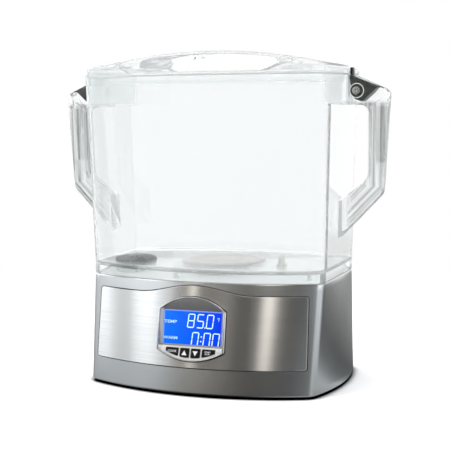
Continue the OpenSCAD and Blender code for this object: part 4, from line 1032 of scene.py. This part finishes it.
lid_shell = loft("lid_shell", [
    lid_section(PLATE_Z, 0.3), lid_section(PLATE_Z + 0.3, 0), lid_section(LID_TOP - 0.8, 0),
    lid_section(LID_TOP - 0.5, 0.09), lid_section(LID_TOP - 0.24, 0.3), lid_section(LID_TOP, 0.8)])
SKIRT_GAP, SKIRT_WALL, SKIRT_H = 1.2, 2.4, 10
skirt = loft("skirt", [tank_section(z, TANK_WALL + SKIRT_GAP) for z in (PLATE_Z - SKIRT_H, PLATE_Z + 1)])
combine(skirt, [loft("skirt_room", [tank_section(z, TANK_WALL + SKIRT_GAP + SKIRT_WALL)
                                    for z in (PLATE_Z - SKIRT_H - 1, PLATE_Z)])])
lugs = [box("lug", *sorted((s * HANDLE_ROOT, s * LUG_X)), -LUG_D / 2, LUG_D / 2, PLATE_Z, LID_TOP)
        for s in (-1, 1)]
combine(lid_shell, [skirt, *shoulders(0), arch(), *lugs], "UNION")
combine(lid_shell, shoulders(SHOULDER_WALL))
smooth(lid_shell, 30)
finish_piece(lid_shell, CLEAR, "lid", "clear", "lid")

# ---- latches ---------------------------------------------------------------

# A pale ring lies between each side of a latch's hub and the clear cheek: a painted highlight, made as a pale
# metal ring standing in for the light caught by the cheek's counterbore round the pin.
pocket = HANDLE_D / 2 - HANDLE_WALL
for side, body in ((-1, "latch_left"), (1, "latch_right")):
    rings = []
    for face in (-1, 1):
        inner, outer_r, n, bevel = HUB_R - 1.1, HUB_R - 0.1, 64, 0.15
        a = np.linspace(0, 2 * math.pi, n, endpoint=False)
        profile = [(outer_r, 0), (outer_r, 0.18), (outer_r - bevel, 0.28),
                   (inner + bevel, 0.28), (inner, 0.18), (inner, 0)]
        base_y = face * (pocket - 0.4)
        verts = [(side * PIVOT[0] + r * math.cos(t), base_y + face * h, PIVOT[1] + r * math.sin(t))
                 for t in a for r, h in profile]
        m = len(profile)
        faces = [(k * m + i, k * m + (i + 1) % m, ((k + 1) % n) * m + (i + 1) % m, ((k + 1) % n) * m + i)
                 for k in range(n) for i in range(m)]
        if face > 0:
            faces = [f[::-1] for f in faces]
        rings.append(mesh_object("ring", verts, faces))
    both = join_meshes(body + "_rings", [r.data for r in rings])
    for r in rings:
        bpy.data.objects.remove(r)
    smooth(both, 50)
    finish_piece(both, CHROME, body, "steel")

# ---- light, floor, camera --------------------------------------------------


def seen_rays(tree):
    """One for camera, glossy and transmission rays."""
    path = add(tree, "LightPath").outputs
    two = math_node(tree, "MAXIMUM", path["Is Camera Ray"], path["Is Glossy Ray"])
    return math_node(tree, "MAXIMUM", two, path["Is Transmission Ray"])


def glow(tree, strength, color=(1, 1, 1, 1)):
    return add(tree, "Emission", Color=color, Strength=strength).outputs[0]


def distance_out(tree):
    """The distance to the object's own middle."""
    return add(tree, "VectorMath", {"operation": "LENGTH"}, Vector=object_place(tree)).outputs["Value"]


# The floor shows white but for the object's shadow, and plain white far off. The
# dark line where the base stands isn't modelled: it is ambient occlusion.
FLOOR_SHOWN, CONTACT, FLOOR_HALF = 1.3, 0.014, 9000
floor_mat, floor_tree, floor_out = new_material("floor")
plain = add(floor_tree, "BsdfDiffuse", Color=(0.84, 0.84, 0.84, 1)).outputs[0]
near = add(floor_tree, "AmbientOcclusion", Distance=CONTACT).outputs["AO"]
shade = tint(floor_tree, ranged(floor_tree, near, 0.35, 0.9, 0, 1), (0, 0, 0), (FLOOR_SHOWN,) * 3)
shown = add(floor_tree, "BsdfDiffuse", Color=shade).outputs[0]
away = ranged(floor_tree, distance_out(floor_tree), 0.35, 0.95, 0, 1)
shown = mixed(floor_tree, away, shown, glow(floor_tree, 1.0))
floor_tree.links.new(mixed(floor_tree, seen_rays(floor_tree), plain, shown), floor_out.inputs[0])
floor = mesh_object("floor", [(sx * FLOOR_HALF, sy * FLOOR_HALF, 0)
                              for sx, sy in ((-1, -1), (1, -1), (1, 1), (-1, 1))], [(0, 1, 2, 3)])
floor.data.materials.append(floor_mat)
floor.visible_glossy = False

# The studio's walls, which only reflections see. Azimuth in degrees from the
# front, brightness, warmth: the low part, and the strips above it that only
# the brushed steel gathers. Both are listed and fitted to the bands that
# the photograph shows on the base, so they hold for its view and not for others.
LOW_TONES = [
    (-180, 1.2, 0), (-110, 1.8, -1), (-75, 2.4, -1), (-66, 2.3, -1), (-59, 1.9, -1), (-44, 1.75, -1),
    (-37, 1.5, -1), (-29, 0.9, 0), (-25.5, 0.7, 1), (-22.5, 0.76, 1), (-19, 0.64, 1), (-15, 0.56, 1),
    (-9, 0.44, 1), (-2, 0.28, 1), (6, 0.16, 1), (18, 0.17, 1), (26, 0.25, 0), (31, 0.36, -1),
    (40, 0.9, -1), (55, 1.9, -1), (75, 2.3, -1), (95, 2.9, -1), (104, 1.5, -1), (115, 0.8, -1),
    (130, 0.6, 0), (148, 1.0, 0), (158, 1.3, 0), (165, 1.6, 0), (180, 1.2, 0),
]
HIGH_TONES = [
    (-180, 0.5, 0), (-100, 0.8, -1), (-74, 2.6, -1), (-66.5, 2.4, -1), (-63.8, 0.5, 0), (-60, 0.0, 0),
    (-55, 0.0, 0), (-52.2, 0.4, -1), (-50, 2.35, -1), (-41.3, 2.6, -1), (-37.5, 1.1, -1), (-33, 1.0, 0),
    (-29, 0.2, 1), (-22.9, 0.05, 1), (-22.3, 3.0, 1), (-21.0, 3.0, 1), (-20.4, 0.05, 1), (-14, 0.03, 1),
    (-8, 0.3, 1), (-5, 0.35, 1), (-2, 0.08, 1), (4, 0.05, 1), (9.3, 0.35, 1), (10.8, 3.2, 1),
    (13.8, 3.3, 1), (15.8, 0.6, 1), (20, 0.1, 1), (25, 0.0, 0), (33, 0.0, 0), (45, 0.8, -1),
    (110, 0.3, 0), (180, 0.5, 0),
]
WALL_TOP, STRIP_TURN = 5.0, math.radians(23)
WALL_R, WALL_Z, WALL_N, GROUND_Z, GROUND_FAR, INSIDE_GLOW = 2600, (-20, 5000), 96, -10, 0.33, 0.92
WARMTH = {-1: (0.96, 1.0, 1.03), 0: (1.0, 1.0, 1.0), 1: (1.05, 1.0, 0.93)}


def tone_ramp(tree, place, tones):
    ramp = tree.nodes.new("ShaderNodeValToRGB")
    elements = ramp.color_ramp.elements
    for i, (angle, level, warm) in enumerate(tones):
        at = (angle + 180) / 360
        stop = elements[0] if i == 0 else (elements[-1] if i == len(tones) - 1 else elements.new(at))
        stop.position = at
        stop.color = (*(c * level / WALL_TOP for c in WARMTH[warm]), 1)
    tree.links.new(place, ramp.inputs[0])
    return ramp.outputs[0]


def studio_material(name, ground):
    mat, tree, out = new_material(name)
    place = object_place(tree)
    x, y, z = add(tree, "SeparateXYZ", Vector=place).outputs
    # Strips curve with height as the brushed front smears what it reflects.
    toward = add(tree, "VectorMath", {"operation": "NORMALIZE"}, Vector=place)
    half = add(tree, "VectorMath", {"operation": "ADD"})
    tree.links.new(toward.outputs[0], half.inputs[0])
    half.inputs[1].default_value = (math.sin(STRIP_TURN), -math.cos(STRIP_TURN), 0)
    way = add(tree, "SeparateXYZ", Vector=half.outputs[0]).outputs
    azimuth = math_node(tree, "ARCTAN2", way["X"], math_node(tree, "MULTIPLY", way["Y"], -1.0))
    turns = math_node(tree, "MULTIPLY", azimuth, 1 / math.pi)
    along = math_node(tree, "ADD", turns, 1.5 - STRIP_TURN / (2 * math.pi))
    along = math_node(tree, "FRACT", along)
    color = tone_ramp(tree, along, LOW_TONES)
    if ground:
        dim = ranged(tree, distance_out(tree), 0.1, 1.6, 0.2, GROUND_FAR)
        behind = ranged(tree, y, 0.9, 1.8, 0, 1)
    else:
        dim = ranged(tree, z, 0.2, 0.52, GROUND_FAR, 1.0)
        behind = ranged(tree, y, 0.4, 1.2, 0, 1)
        color = mixed_colors(tree, ranged(tree, z, 0.62, 0.86, 0, 1), color,
                             tone_ramp(tree, along, HIGH_TONES))
    dim = math_node(tree, "MAXIMUM", dim, behind)
    seen = glow(tree, math_node(tree, "MULTIPLY", dim, WALL_TOP), color)
    # Inside clear plastic the studio is pale.
    inside = math_node(tree, "GREATER_THAN", add(tree, "LightPath").outputs["Transmission Depth"], 0.5)
    tree.links.new(mixed(tree, inside, seen, glow(tree, INSIDE_GLOW)), out.inputs[0])
    return mat


a = np.linspace(0, 2 * math.pi, WALL_N, endpoint=False)
ring = np.column_stack((np.cos(a), np.sin(a))) * WALL_R
wall = mesh_object("studio_wall", [(x, y, z) for z in WALL_Z for x, y in ring], [
    (i, (i + 1) % WALL_N, WALL_N + (i + 1) % WALL_N, WALL_N + i) for i in range(WALL_N)])
ground = mesh_object("studio_ground", [(x, y, GROUND_Z) for x, y in ring], [tuple(range(WALL_N))])
for ob, is_ground in ((wall, False), (ground, True)):
    ob.data.materials.append(studio_material(ob.name, is_ground))
    ob.visible_camera = ob.visible_diffuse = ob.visible_transmission = ob.visible_shadow = False

world = bpy.data.worlds.new("studio")
scene.world = world
world.use_nodes = True
tree = world.node_tree
tree.nodes.clear()
soft = add(tree, "Background", Color=(0.97, 0.985, 1.0, 1), Strength=0.6)
white = add(tree, "Background", Color=(1, 1, 1, 1))
world_out = add(tree, "OutputWorld")
tree.links.new(mixed(tree, seen_rays(tree), soft.outputs[0], white.outputs[0]), world_out.inputs[0])

TARGET = Vector((0, 0, 0.18))


def softbox(name, at, size, power, color=(1, 1, 1)):
    data = bpy.data.lights.new(name, "AREA")
    data.shape, data.size, data.size_y = "RECTANGLE", size[0], size[1]
    data.energy, data.color = power, color
    ob = bpy.data.objects.new(name, data)
    scene.collection.objects.link(ob)
    ob.location = at
    ob.rotation_mode = "QUATERNION"
    ob.rotation_quaternion = (TARGET - Vector(at)).to_track_quat("-Z", "Y")
    ob.visible_glossy = ob.visible_transmission = False
    return ob


softbox("key", (-1.5, -1.4, 1.6), (1.2, 1.4), 26)
softbox("fill", (1.6, -1.2, 0.9), (0.8, 1.2), 7)
softbox("top", (0.0, 0.2, 2.0), (1.4, 1.0), 14)

camera_data = bpy.data.cameras.new("camera")
camera_data.sensor_width = 36
camera_data.lens = 91.04
camera = bpy.data.objects.new("camera", camera_data)
scene.collection.objects.link(camera)
azim, elev, roll, distance = math.radians(21.325), math.radians(6.2016), math.radians(-0.6413), 1.30985
aim = Vector((0.00168, 0, 0.17444))
back = Vector((math.sin(azim) * math.cos(elev), -math.cos(azim) * math.cos(elev), math.sin(elev)))
camera.matrix_world = Matrix.Translation(aim + back * distance) @ (
    (-back).to_track_quat("-Z", "Y").to_matrix().to_4x4() @ Matrix.Rotation(roll, 4, "Z"))
scene.camera = camera
scene.view_settings.view_transform = "Standard"
